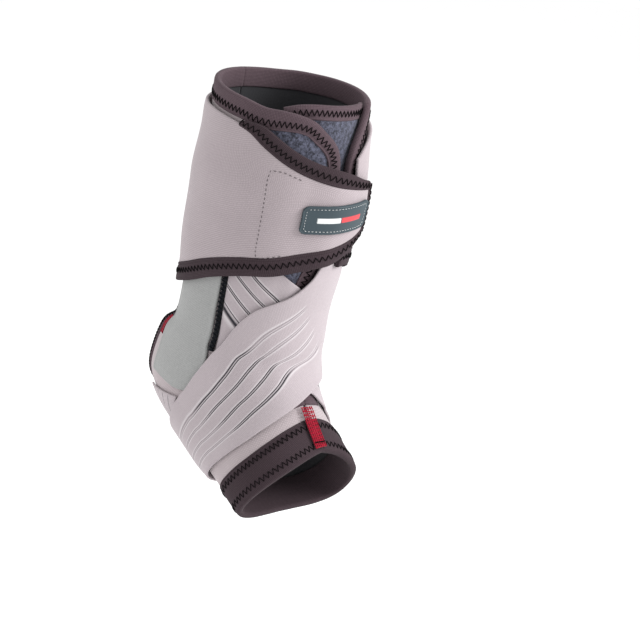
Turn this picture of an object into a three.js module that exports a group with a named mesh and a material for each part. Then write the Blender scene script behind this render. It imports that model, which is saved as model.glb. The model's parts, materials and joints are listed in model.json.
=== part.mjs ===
import * as THREE from "three";

// Millimetres. The origin is the centre of the ankle inside the hollow. +Z runs up along the leg, +X toward
// the toes and +Y toward the inner side of a right foot.

// Driving dimensions
const LEG_HEIGHT = 158;
const CALF_DEPTH = 92;
const CALF_WIDTH = 86;
const FOOT_REACH = 98;
const HEEL_DROP = 74;
const FOOT_WIDTH = 80;
const TOE_DOWN_DEG = 24;

// Cloth thicknesses and the air left between two pieces
const BODY_WALL = 2.4;
const STRAP_WALL = 1.5;
const CUFF_WALL = 2;
const POCKET_WALL = 2;
const TONGUE_WALL = 1.8;
const TAPE_WALL = 1;
const LABEL_WALL = 1.6;
const BINDING_WALL = 0.8;
const CUFF_BINDING_WALL = 3;
const TONGUE_BINDING_WALL = 2.6;
const AIR = 0.5;
const EDGE_AIR = 0.5;
const CURVED_EDGE_AIR = 0.7;
const FOOT_EDGE_AIR = 0.9;

// Band widths
const RIM_BAND = 11;
const FLAP_BAND = 8;
const HEEL_BAND = 5;
const FOOT_BAND = 21;
const CUFF_TOP_BAND = 8;
const CUFF_TIP_BAND = 3.5;
const CUFF_LOW_BAND = 10;
const TONGUE_BAND = 7.5;
const LABEL_CORNER = 3;

// How high above the leg each layer lies
const LEVEL = {
  strap: BODY_WALL + AIR,
  overStrap: 3,
  tongue: -4,
  cuffTop: 4.6,
  cuffLow: 7.1,
  cuffTurn: 3.3,
  tapeRise: 1.6,
  frontRise: 1.4,
};

// The worn form, a row for each section, from the rim down to the toes. Leg rows are level and foot rows run
// from the top of the foot to the sole, in a frame that is turned down by TOE_DOWN_DEG. Lengths are shares of
// the driving dimensions, "belly" moves the widest place forward and "square" is the corner fullness.
const LEG_ROWS = [
  { up: 1.0, front: 0.57, back: -0.42, width: 0.97, belly: 0.05, square: 2.1 },
  { up: 0.66, front: 0.57, back: -0.44, width: 0.98, belly: 0.05, square: 2.1 },
  { up: 0.38, front: 0.52, back: -0.45, width: 0.94, belly: 0.05, square: 2.1 },
  { up: 0.18, front: 0.46, back: -0.46, width: 0.87, belly: 0.05, square: 2.1 },
];
const FOOT_ROWS = [
  { top: [0.37, 0.29], sole: [-0.47, -0.23], width: 0.92, belly: 0, square: 2.1 },
  { top: [0.42, 0.13], sole: [-0.58, -0.49], width: 0.92, belly: -0.1, square: 2.1 },
  { top: [0.51, 0.01], sole: [-0.5, -0.9], width: 0.9, belly: -0.05, square: 2.2 },
  { top: [0.62, -0.08], sole: [-0.255, -1.03], width: 0.88, belly: 0.1, square: 2.3 },
  { top: [0.74, -0.16], sole: [0.12, -1.02], width: 0.92, belly: 0.2, square: 2.3 },
  { top: [0.85, -0.22], sole: [0.51, -1.01], width: 0.98, belly: 0.25, square: 2.3 },
  { top: [0.97, -0.28], sole: [0.86, -1.0], width: 1.02, belly: 0.3, square: 2.3 },
  { top: [1.1, -0.34], sole: [1.05, -0.98], width: 1.03, belly: 0.3, square: 2.3 },
];

// Places on the form are [around, along]: degrees round a section, 0 at the front or the top of the foot,
// 90 at the outer side, 180 at the back or the sole, and the number of the row counted from the rim.

// Edges of the outer body half
const LATERAL_RIM = [
  [6.5, 0.51], [11.5, 0.43], [18.5, 0.35], [27, 0.26], [38, 0.21], [50, 0.19], [65, 0.19],
  [81, 0.15], [97, 0.12], [114, 0.09], [130, 0.06], [146, 0.03], [163, 0.01], [179.4, 0],
];
const LATERAL_FRONT = [
  [6.5, 0.51], [3.2, 0.62], [1.7, 0.76], [1, 0.95], [0.4, 1.25], [0.2, 1.6], [1.5, 2], [6, 2.5],
  [7.5, 3.2], [5.5, 4], [3, 5], [2.4, 6], [2.4, 6.9], [1.2, 7.8], [0.8, 8.7], [0.8, 9.66],
];
const LATERAL_BACK = [
  [179.4, 0], [179.4, 0.6], [179.4, 1.2], [179.4, 1.8], [179.4, 2.4], [176, 2.9], [158, 3.4], [141, 3.9],
  [138.5, 4.6], [140, 5.3], [146, 5.95], [161, 6.55], [177, 7], [179.4, 7.8], [179.4, 8.9], [179.4, 10.1],
];
const LATERAL_TOE = [
  [0.8, 9.66], [15, 9.86], [30, 10.02], [46, 10.1], [62, 10.13], [78, 10.12], [95, 10.11], [112, 10.11],
  [129, 10.13], [146, 10.14], [163, 10.12], [179.4, 10.1],
];

// Edges of the inner body half
const MEDIAL_RIM = [
  [-36, 0.08], [-50, 0.05], [-66, 0.02], [-82, 0], [-98, -0.01], [-114, -0.01], [-130, -0.01],
  [-146, 0], [-163, 0], [-179.4, 0],
];
const MEDIAL_FRONT = [
  [-36, 0.08], [-21, 0.33], [-12, 0.57], [-9.2, 0.82], [-9, 1.2], [-8, 1.6], [-4.5, 2], [0, 2.5],
  [1.5, 3.2], [0, 4], [-2, 5], [-2.4, 6], [-2.4, 6.9], [-1.2, 7.8], [-0.8, 8.7], [-0.8, 9.66],
];
const MEDIAL_BACK = LATERAL_BACK.map(([around, along]) => [-around, along]);
const MEDIAL_TOE = [
  [-0.8, 9.66], [-13, 9.84], [-27, 10.06], [-42, 10.2], [-58, 10.3], [-75, 10.32], [-92, 10.3],
  [-110, 10.25], [-128, 10.2], [-146, 10.16], [-163, 10.12], [-179.4, 10.1],
];

// Tongue edges
const TONGUE_TOP = [
  [50, 0.28], [38, 0.23], [24, 0.21], [8, 0.21], [-8, 0.21], [-24, 0.21], [-40, 0.22],
];
const TONGUE_LOW = [
  [16, 6.1], [11, 6.15], [5, 6.2], [0, 6.2], [-5, 6.2], [-11, 6.15], [-16, 6.1],
];
const TONGUE_START = [[50, 0.28], [38, 2.2], [24, 4.4], [16, 6.1]];
const TONGUE_END = [[-40, 0.22], [-36, 2.2], [-24, 4.4], [-16, 6.1]];

// Stay pockets, as the outer one; the inner one is its mirror
const POCKET_TOP = [[79, 1.28], [94, 1.25], [110, 1.22], [126, 1.2]];
const POCKET_LOW = [[88, 6.6], [100, 6.5], [112, 6.25], [124, 6.05]];
const POCKET_FRONT = [
  [79, 1.28], [78, 1.8], [76, 2.6], [77.2, 3.5], [78, 4.5], [77.5, 5.5], [88, 6.6],
];
const POCKET_BACK = [
  [126, 1.2], [128, 1.8], [130, 2.6], [130, 3.2], [128.3, 3.7], [124.3, 4.4], [121.5, 5.4], [124, 6.05],
];
const TAPE_FRONT = [[72, 1.6], [71.2, 2.6], [71.5, 3.6], [72.5, 4.9]];
const TAPE_BACK = [[76.6, 1.6], [74.7, 2.6], [75.8, 3.6], [77.2, 4.9]];

// Strap edges: "rear" is the upper or heel edge and "toe" the lower or toe edge, a row for each section
const STRAP_OVER = [
  { rear: [-24, 1.4], toe: [-71, 3.6] },
  { rear: [-1.5, 1.98], toe: [-55, 4.7] },
  { rear: [20, 2.6], toe: [-37, 5.75] },
  { rear: [46, 3.12], toe: [-8, 6.6] },
  { rear: [61.5, 3.84], toe: [11, 7.3] },
  { rear: [70.5, 4.83], toe: [33, 7.95] },
  { rear: [82, 5.85], toe: [58, 8.5] },
  { rear: [96, 6.95], toe: [93, 8.86] },
  { rear: [120, 7.6], toe: [128, 9] },
  { rear: [150, 7.9], toe: [155, 9.05] },
  { rear: [180, 8.02], toe: [180, 9.05] },
  { rear: [204, 7.85], toe: [207, 8.95] },
  { rear: [219, 7.3], toe: [238, 8.4] },
  { rear: [219, 6.5], toe: [261, 7] },
];
const STRAP_UNDER = [
  { rear: [66, 1.5], toe: [69.5, 5.1] },
  { rear: [43.5, 2.04], toe: [58, 5.75] },
  { rear: [27, 2.28], toe: [37, 6.2] },
  { rear: [11, 2.52], toe: [14, 6.5] },
  { rear: [-13, 2.95], toe: [-6, 6.75] },
  { rear: [-36, 3.5], toe: [-18, 7.4] },
  { rear: [-60, 4.3], toe: [-37, 8.1] },
  { rear: [-79, 5.4], toe: [-62, 8.65] },
  { rear: [-95, 6.8], toe: [-95, 8.95] },
  { rear: [-118, 7.5], toe: [-128, 9] },
  { rear: [-150, 7.9], toe: [-155, 9.05] },
  { rear: [-180, 8.02], toe: [-180, 9.05] },
  { rear: [-204, 7.85], toe: [-207, 8.95] },
  { rear: [-221, 7.3], toe: [-240, 8.2] },
  { rear: [-223, 6.55], toe: [-262, 6.85] },
];

// Cuff edges inside its binding, a row for each section from its start under the tip, round the inner side
// and the back to the tip at the front
const CUFF = [
  { top: [-12, 0.62], low: [-12, 1.8] },
  { top: [-30, 0.42], low: [-30, 1.82] },
  { top: [-52, 0.3], low: [-54, 2] },
  { top: [-80, 0.23], low: [-82, 2.25] },
  { top: [-110, 0.22], low: [-112, 2.55] },
  { top: [-145, 0.22], low: [-146, 2.85] },
  { top: [-180, 0.23], low: [-180, 3] },
  { top: [-214, 0.27], low: [-214, 2.85] },
  { top: [-245, 0.31], low: [-247, 2.55] },
  { top: [-270, 0.36], low: [-275, 2.22] },
  { top: [-288, 0.43], low: [-297, 2.05] },
  { top: [-301, 0.56], low: [-316, 1.97] },
  { top: [-318, 0.71], low: [-330, 1.88] },
  { top: [-334, 0.81], low: [-345, 1.78] },
  { top: [-352, 0.88], low: [-360, 1.69] },
  { top: [-368, 0.92], low: [-373, 1.6] },
  { top: [-384, 0.95], low: [-386, 1.5] },
];
const CUFF_FREE_FROM = -280;

// Rows between which the heel opening has its band, as far round as the two halves stay apart, and the row
// where the two front bands end
const HEEL_OPENING = { from: 2.6, to: 7.05, around: 177.2 };
const FRONT_BAND_ENDS = 7.25;

const LABEL_ENDS = { start: [-332, 1.33], end: [-380, 1.23] };
const LABEL_HEIGHT = 17;
const LABEL_CORNER_SHARES = [0, 0.3, 1];
const LABEL_MIDDLE_SHARES = [0.35, 0.5, 0.65];
const PULL_FRONT = { top: [1.6, 7.35], low: [2.4, 9.6], width: 8 };
const PULL_BACK = { top: [127.8, 4.4], low: [126.7, 5.2], width: 3.4 };

// The band of the front edge widens toward the rim between these degrees
const FRONT_BAND_WIDENS = { from: 20, to: 60 };

// The straps rise over the two front bands, which lie within these degrees and rows, and the front pull tape
// over the foot band between these rows
const FRONT_RISE = { around: 21, fade: 12, along: 7.5, fadeRows: 0.5 };
const PULL_RISE = { from: 7, to: 7.6 };

// The cuff stands off more below these rows, over the straps, and where it turns over its own start
const CUFF_RISE = { from: 0.5, to: 1.15 };
const CUFF_TURN = { from: -332, to: -356 };

// How finely the pieces are cut up
const BODY_CELLS = { across: 16, down: 27 };
const STRAP_CELLS = { across: 47, down: 6 };
const CUFF_CELLS = { across: 48, down: 5 };
const POCKET_CELLS = { across: 4, down: 12 };
const STAY_TAPE_CELLS = { across: 1, down: 8 };
const TONGUE_CELLS = { across: 9, down: 12 };
const PULL_FRONT_STEPS = 8;
const PULL_BACK_STEPS = 4;
const WIDEST_FLAT_LIP = 12;
const LONGEST_MOVE = 4;
const COVER_MARGIN = 5;
const COVER_REACH = 7;
const RING_DEG = 360;

const DEG = Math.PI / 180;

function placeInFoot([along, up]) {
  const turn = TOE_DOWN_DEG * DEG;
  const x = along * FOOT_REACH;
  const z = up * HEEL_DROP;
  return [x * Math.cos(turn) + z * Math.sin(turn), z * Math.cos(turn) - x * Math.sin(turn)];
}

// Each row of the form as [front x, front z, back x, back z, half width, belly, square]
const rows = [
  ...LEG_ROWS.map((row) => [
    row.front * CALF_DEPTH,
    row.up * LEG_HEIGHT,
    row.back * CALF_DEPTH,
    row.up * LEG_HEIGHT,
    (row.width * CALF_WIDTH) / 2,
    row.belly,
    row.square,
  ]),
  ...FOOT_ROWS.map((row) => [
    ...placeInFoot(row.top),
    ...placeInFoot(row.sole),
    (row.width * FOOT_WIDTH) / 2,
    row.belly,
    row.square,
  ]),
];

function extended(list) {
  const beyond = (a, b) => a.map((value, i) => 2 * value - b[i]);
  return [beyond(list[0], list[1]), ...list, beyond(list.at(-1), list.at(-2))];
}

// A smooth curve through a list of number rows, at a position counted in rows
function smooth(list, place) {
  const held = Math.min(Math.max(place, 0), list.length - 1);
  const base = Math.min(Math.floor(held), list.length - 2);
  const t = held - base;
  const [before, from, to, after] = extended(list).slice(base, base + 4);
  return from.map((value, i) => {
    const leave = (to[i] - before[i]) / 2;
    const arrive = (after[i] - value) / 2;
    return (
      (2 * value - 2 * to[i] + leave + arrive) * t ** 3 +
      (3 * to[i] - 3 * value - 2 * leave - arrive) * t ** 2 +
      leave * t +
      value
    );
  });
}

function onForm([around, along]) {
  const [frontX, frontZ, backX, backZ, half, belly, square] = smooth(rows, along);
  const past = Math.min(along, 0);
  const power = (value) => Math.sign(value) * Math.abs(value) ** (2 / square);
  const forward = power(Math.cos(around * DEG));
  const shifted = forward - belly * (1 - forward * forward);
  return new THREE.Vector3(
    (frontX + backX) / 2 + ((frontX - backX) / 2) * shifted,
    -half * power(Math.sin(around * DEG)),
    (frontZ + backZ) / 2 + ((frontZ - backZ) / 2) * shifted - past * LEG_HEIGHT * (1 - LEG_ROWS[1].up),
  );
}

function slopes([around, along]) {
  const turn = 0.5;
  const step = 0.01;
  const round = onForm([around + turn, along]).sub(onForm([around - turn, along])).divideScalar(2 * turn);
  const down = onForm([around, along + step]).sub(onForm([around, along - step])).divideScalar(2 * step);
  return { round, down, out: round.clone().cross(down).normalize() };
}

function lifted(place, lift) {
  return onForm(place).addScaledVector(slopes(place).out, lift);
}

// Moves a place along the form in a 3-D direction, in short steps
function moved(place, direction, distance) {
  const steps = Math.ceil(Math.abs(distance) / LONGEST_MOVE);
  let [around, along] = place;
  for (let i = 0; i < steps; i += 1) {
    const { round, down } = slopes([around, along]);
    const rr = round.dot(round);
    const rd = round.dot(down);
    const dd = down.dot(down);
    const r = (round.dot(direction) * distance) / steps;
    const d = (down.dot(direction) * distance) / steps;
    const scale = rr * dd - rd * rd;
    around += (r * dd - d * rd) / scale;
    along += (d * rr - r * rd) / scale;
  }
  return [around, along];
}

const ease = (x) => {
  const held = Math.min(Math.max(x, 0), 1);
  return held * held * (3 - 2 * held);
};
const between = (value, { from, to }) => ease((value - from) / (to - from));
const blend = (a, b, share) => a.map((value, i) => value + (b[i] - value) * share);
const curveOf = (table) => (share) => smooth(table, share * (table.length - 1));

// A cloth is a four-sided place on the form. across runs from its start edge to its end edge, down from its
// top edge to its low edge, both from 0 to 1.
function fourSided({ top, low, start, end }) {
  const [topAt, lowAt, startAt, endAt] = [top, low, start, end].map(curveOf);
  return (across, down) => {
    const ruledDown = blend(topAt(across), lowAt(across), down);
    const ruledAcross = blend(startAt(down), endAt(down), across);
    const corners = blend(blend(topAt(0), lowAt(0), down), blend(topAt(1), lowAt(1), down), across);
    return ruledDown.map((value, i) => value + ruledAcross[i] - corners[i]);
  };
}

function ruled(table, first, second) {
  const firstAt = curveOf(table.map((row) => row[first]));
  const secondAt = curveOf(table.map((row) => row[second]));
  return (across, down) => blend(firstAt(across), secondAt(across), down);
}

const grid = (at, { across, down }) =>
  Array.from({ length: across + 1 }, (_, i) =>
    Array.from({ length: down + 1 }, (_, j) => at(i / across, j / down)),
  );

// Sweeps closed cross-sections into one solid. Each section is the same number of 3-D points, in order, and
// caps lists the quads that close the two ends.
function swept(sections, caps, closed) {
  const size = sections[0].length;
  const points = sections.flat();
  const faces = [];
  const quad = (a, b, c, d) => faces.push([a, b, c], [a, c, d]);
  const last = closed ? sections.length : sections.length - 1;
  for (let i = 0; i < last; i += 1) {
    const here = i * size;
    const next = ((i + 1) % sections.length) * size;
    for (let k = 0; k < size; k += 1) {
      const other = (k + 1) % size;
      quad(here + k, next + k, next + other, here + other);
    }
  }
  if (!closed) {
    const far = (sections.length - 1) * size;
    for (const [a, b, c, d] of caps) {
      quad(a, b, c, d);
      quad(far + d, far + c, far + b, far + a);
    }
  }
  return meshOf(points, faces);
}

function meshOf(points, faces) {
  const volume = faces.reduce(
    (sum, [a, b, c]) => sum + points[a].dot(points[b].clone().cross(points[c])),
    0,
  );
  const order = volume < 0 ? faces.map(([a, b, c]) => [a, c, b]) : faces;
  const geometry = new THREE.BufferGeometry();
  geometry.setAttribute(
    "position",
    new THREE.Float32BufferAttribute(points.flatMap((point) => point.toArray()), 3),
  );
  geometry.setIndex(order.flat());
  return geometry;
}

// A cloth with an inner and an outer face: places is a grid of [around, along]
function sheet(places, lift, wall) {
  const sections = places.map((column) => [
    ...column.map((place) => lifted(place, lift(place) + wall)),
    ...column.map((place) => lifted(place, lift(place))).reverse(),
  ]);
  const count = places[0].length;
  const caps = Array.from({ length: count - 1 }, (_, k) => [k, k + 1, 2 * count - 2 - k, 2 * count - 1 - k]);
  return swept(sections, caps, false);
}

// The direction along the form, square to an edge path, at each of its places; side is 1 or -1
function edgeFrames(path, side, closed) {
  const points = path.map((place) => onForm(place));
  const count = path.length;
  return path.map((place, i) => {
    const before = closed ? (i + count - 1) % count : Math.max(i - 1, 0);
    const after = closed ? (i + 1) % count : Math.min(i + 1, count - 1);
    const along = points[after].clone().sub(points[before]).normalize();
    return slopes(place).out.clone().cross(along).multiplyScalar(side).normalize();
  });
}

// A binding folded over the edge of a cloth: two lips and the fold between them. A wide lip has a place
// between its ends, so that it follows the form.
function foldedBinding({ path, side, width, wall, air = EDGE_AIR, closed = false }) {
  const frames = edgeFrames(path, side, closed);
  const parts = Math.ceil(width(0, path[0]) / WIDEST_FLAT_LIP);
  const shares = Array.from({ length: parts + 1 }, (_, i) => i / parts);
  const sections = path.map((place, i) => {
    const reach = width(i / (path.length - 1), place);
    const at = (inset, height) => lifted(moved(place, frames[i], inset), height);
    const fold = -EDGE_AIR - BINDING_WALL;
    const lip = (from, to, height) => shares.map((share) => at(from + (to - from) * share, height));
    return [
      ...lip(reach, fold, wall + air + BINDING_WALL),
      ...lip(fold, reach, -air - BINDING_WALL),
      ...lip(reach, -EDGE_AIR, -air),
      ...lip(-EDGE_AIR, reach, wall + air),
    ];
  });
  const count = shares.length;
  const size = 4 * count;
  const caps = Array.from({ length: 2 * count - 1 }, (_, k) => [k, k + 1, size - 2 - k, size - 1 - k]);
  return swept(sections, caps, closed);
}

// A thick edge strip sewn on end to end with the cloth, outside the cloth's own edge
function edgeStrip({ path, side, width, wall, lift, closed = false }) {
  const frames = edgeFrames(path, side, closed);
  const sections = path.map((place, i) => {
    const reach = width(i / (path.length - 1), place);
    const at = (outset, height) => {
      const spot = moved(place, frames[i], -outset);
      return lifted(spot, lift(place) + height);
    };
    const low = -(wall - CUFF_WALL) / 2;
    return [
      at(EDGE_AIR, low + wall),
      at(EDGE_AIR + reach, low + wall),
      at(EDGE_AIR + reach, low),
      at(EDGE_AIR, low),
    ];
  });
  return swept(sections, [[0, 1, 2, 3]], closed);
}

const edgeOf = {
  top: (places) => places.map((column) => column[0]),
  low: (places) => places.map((column) => column.at(-1)),
  start: (places) => places[0],
  end: (places) => places.at(-1),
};

// How much a region of the form lies under a place: 1 over it, 0 well away from it
function coverBy(places) {
  const ring = [
    ...edgeOf.top(places),
    ...edgeOf.end(places).slice(1),
    ...edgeOf.low(places).slice(0, -1).reverse(),
    ...edgeOf.start(places).slice(1, -1).reverse(),
  ];
  const spots = ring.map((place) => onForm(place));
  const inside = ([around, along]) => {
    let odd = false;
    ring.forEach(([aroundA, alongA], i) => {
      const [aroundB, alongB] = ring[(i + 1) % ring.length];
      const crosses = alongA > along !== alongB > along;
      if (crosses && around < aroundA + ((aroundB - aroundA) * (along - alongA)) / (alongB - alongA)) {
        odd = !odd;
      }
    });
    return odd;
  };
  return ([around, along]) => {
    if ([-RING_DEG, 0, RING_DEG].some((turn) => inside([around + turn, along]))) {
      return 1;
    }
    const spot = onForm([around, along]);
    const line = new THREE.Line3();
    const nearest = spots.reduce((least, from, i) => {
      line.set(from, spots[(i + 1) % spots.length]);
      const foot = line.closestPointToPoint(spot, true, new THREE.Vector3());
      return Math.min(least, foot.distanceTo(spot));
    }, Infinity);
    return 1 - ease((nearest - COVER_MARGIN) / COVER_REACH);
  };
}

const mirrored = (table) => table.map(([around, along]) => [-around, along]);
const level = (height) => () => height;

// Body
const lateral = grid(
  fourSided({ top: LATERAL_RIM, low: LATERAL_TOE, start: LATERAL_FRONT, end: LATERAL_BACK }),
  BODY_CELLS,
);
const medial = grid(
  fourSided({ top: MEDIAL_RIM, low: MEDIAL_TOE, start: MEDIAL_FRONT, end: MEDIAL_BACK }),
  BODY_CELLS,
);

// Pockets, tape and straps
const pocketAt = fourSided({ top: POCKET_TOP, low: POCKET_LOW, start: POCKET_FRONT, end: POCKET_BACK });
const pocketLateral = grid(pocketAt, POCKET_CELLS);
const pocketMedial = pocketLateral.map(mirrored);
const stayTape = grid(
  (across, down) => blend(curveOf(TAPE_FRONT)(down), curveOf(TAPE_BACK)(down), across),
  STAY_TAPE_CELLS,
);
const strapUnder = grid(ruled(STRAP_UNDER, "rear", "toe"), STRAP_CELLS);
const strapOver = grid(ruled(STRAP_OVER, "rear", "toe"), STRAP_CELLS);
const onPocketMedial = coverBy(pocketMedial);
const overBands = ([around, along]) =>
  LEVEL.frontRise *
  (1 - ease((Math.abs(around) - FRONT_RISE.around) / FRONT_RISE.fade)) *
  (1 - ease((along - FRONT_RISE.along) / FRONT_RISE.fadeRows));
const underLift = (place) => LEVEL.strap + overBands(place) + LEVEL.overStrap * onPocketMedial(place);
const overCovers = [pocketLateral, stayTape, strapUnder].map(coverBy);
const overLift = (place) =>
  LEVEL.strap +
  overBands(place) +
  LEVEL.overStrap * Math.max(...overCovers.map((cover) => cover(place))) +
  LEVEL.overStrap * onPocketMedial(place);

// Cuff
const cuffLift = ([around, along]) =>
  LEVEL.cuffTop +
  (LEVEL.cuffLow - LEVEL.cuffTop) * between(along, CUFF_RISE) +
  LEVEL.cuffTurn * between(around, CUFF_TURN);
const cuff = grid(ruled(CUFF, "top", "low"), CUFF_CELLS);
const cuffTopEdge = edgeOf.top(cuff).filter(([around]) => around < CUFF_FREE_FROM);
const cuffEdge = [
  ...edgeOf.low(cuff),
  ...edgeOf.end(cuff).slice(1, -1).reverse(),
  ...cuffTopEdge.reverse(),
];
const cuffEdgeWidth = (_, [around, along]) => {
  const [, tipTop] = CUFF.at(-1).top;
  const [, tipLow] = CUFF.at(-1).low;
  const nearTip = ease((CUFF.at(-3).top[0] - around) / (CUFF.at(-3).top[0] - CUFF.at(-1).top[0]));
  const full = along > (tipTop + tipLow) / 2 ? CUFF_LOW_BAND : CUFF_TOP_BAND;
  return full + (CUFF_TIP_BAND - full) * nearTip;
};

// Label, a rounded rectangle
function labelPlaces() {
  const middle = (across) => blend(LABEL_ENDS.start, LABEL_ENDS.end, across);
  const length = onForm(LABEL_ENDS.start).distanceTo(onForm(LABEL_ENDS.end));
  const shares = LABEL_CORNER_SHARES.map((x) => (x * LABEL_CORNER) / length);
  const across = [...shares, ...LABEL_MIDDLE_SHARES, ...shares.map((x) => 1 - x).reverse()];
  return across.map((share) => {
    const fromEnd = Math.min(share, 1 - share) * length;
    const drop = LABEL_CORNER - Math.min(fromEnd, LABEL_CORNER);
    const half = LABEL_HEIGHT / 2 - LABEL_CORNER + Math.sqrt(LABEL_CORNER ** 2 - drop ** 2);
    const place = middle(share);
    const up = slopes(place).down.clone().normalize();
    return [-half, 0, half].map((reach) => moved(place, up, reach));
  });
}

// A straight tape between two places, cut into steps
function tapePlaces({ top, low, width }, steps) {
  return Array.from({ length: steps + 1 }, (_, i) => {
    const place = blend(top, low, i / steps);
    const sideways = slopes(place).round.clone().normalize();
    return [-width / 2, 0, width / 2].map((reach) => moved(place, sideways, reach));
  });
}

const tongue = grid(
  fourSided({
    top: TONGUE_TOP,
    low: TONGUE_LOW,
    start: TONGUE_START,
    end: TONGUE_END,
  }),
  TONGUE_CELLS,
);

const heelSpan = (places) =>
  edgeOf
    .end(places)
    .filter(([, along]) => along > HEEL_OPENING.from && along < HEEL_OPENING.to)
    .filter(([around]) => Math.abs(around) < HEEL_OPENING.around);
const footRing = [...edgeOf.low(lateral), ...edgeOf.low(medial).slice().reverse()];
const frontBand = (places) => [
  ...edgeOf.top(places).slice().reverse(),
  ...edgeOf.start(places).filter(([, along], i) => i > 0 && along < FRONT_BAND_ENDS),
];
const frontWidth = (_, [around]) =>
  FLAP_BAND + (RIM_BAND - FLAP_BAND) * between(Math.abs(around), FRONT_BAND_WIDENS);
const pullLift = ([, along]) => LEVEL.strap + LEVEL.tapeRise * between(along, PULL_RISE);

const COLOURS = {
  cloth: 0xb9aeb0,
  blue: 0x5f6a7d,
  taupe: 0x5b5052,
  sage: 0xa3a9a8,
  navy: 0x20242c,
  crimson: 0xa3203f,
  rubber: 0x4c5758,
};

const brace = new THREE.Group();
brace.name = "ankle_brace";

function add(name, geometry, colour) {
  const mesh = new THREE.Mesh(geometry, new THREE.MeshStandardMaterial({ color: colour, flatShading: true }));
  mesh.name = name;
  brace.add(mesh);
}

add("body_lateral", sheet(lateral, level(0), BODY_WALL), COLOURS.blue);
add("body_medial", sheet(medial, level(0), BODY_WALL), COLOURS.cloth);
add("tongue", sheet(tongue, level(LEVEL.tongue), TONGUE_WALL), COLOURS.blue);
add(
  "tongue_binding",
  edgeStrip({
    path: edgeOf.top(tongue),
    side: -1,
    width: level(TONGUE_BAND),
    wall: TONGUE_BINDING_WALL,
    lift: level(LEVEL.tongue),
  }),
  COLOURS.taupe,
);
add(
  "flap_binding_lateral",
  foldedBinding({ path: frontBand(lateral), side: -1, width: frontWidth, wall: BODY_WALL }),
  COLOURS.taupe,
);
add(
  "flap_binding_medial",
  foldedBinding({ path: frontBand(medial), side: 1, width: frontWidth, wall: BODY_WALL }),
  COLOURS.taupe,
);
add(
  "heel_binding_lateral",
  foldedBinding({
    path: heelSpan(lateral),
    side: 1,
    width: level(HEEL_BAND),
    wall: BODY_WALL,
    air: CURVED_EDGE_AIR,
  }),
  COLOURS.taupe,
);
add(
  "heel_binding_medial",
  foldedBinding({
    path: heelSpan(medial),
    side: -1,
    width: level(HEEL_BAND),
    wall: BODY_WALL,
    air: CURVED_EDGE_AIR,
  }),
  COLOURS.taupe,
);
add(
  "foot_band",
  foldedBinding({
    path: footRing,
    side: -1,
    width: level(FOOT_BAND),
    wall: BODY_WALL,
    air: FOOT_EDGE_AIR,
    closed: true,
  }),
  COLOURS.taupe,
);
add("stay_pocket_lateral", sheet(pocketLateral, level(LEVEL.strap), POCKET_WALL), COLOURS.sage);
add("stay_pocket_medial", sheet(pocketMedial, level(LEVEL.strap), POCKET_WALL), COLOURS.sage);
add("stay_edge_tape_lateral", sheet(stayTape, level(LEVEL.strap), POCKET_WALL), COLOURS.navy);
add("strap_under", sheet(strapUnder, underLift, STRAP_WALL), COLOURS.cloth);
add("strap_over", sheet(strapOver, overLift, STRAP_WALL), COLOURS.cloth);
add("cuff_strap", sheet(cuff, cuffLift, CUFF_WALL), COLOURS.cloth);
add(
  "cuff_binding",
  edgeStrip({ path: cuffEdge, side: 1, width: cuffEdgeWidth, wall: CUFF_BINDING_WALL, lift: cuffLift }),
  COLOURS.taupe,
);
add(
  "label_patch",
  sheet(labelPlaces(), (place) => cuffLift(place) + CUFF_WALL + AIR, LABEL_WALL),
  COLOURS.rubber,
);
const frontPull = tapePlaces(PULL_FRONT, PULL_FRONT_STEPS);
const backPull = tapePlaces(PULL_BACK, PULL_BACK_STEPS);
add("pull_tape_front", sheet(frontPull, pullLift, TAPE_WALL), COLOURS.crimson);
add("pull_tape_back", sheet(backPull, level(LEVEL.strap), TAPE_WALL), COLOURS.crimson);

export default brace;
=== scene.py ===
import json
import math

import bpy
import numpy as np
from mathutils import Matrix, Vector

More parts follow.
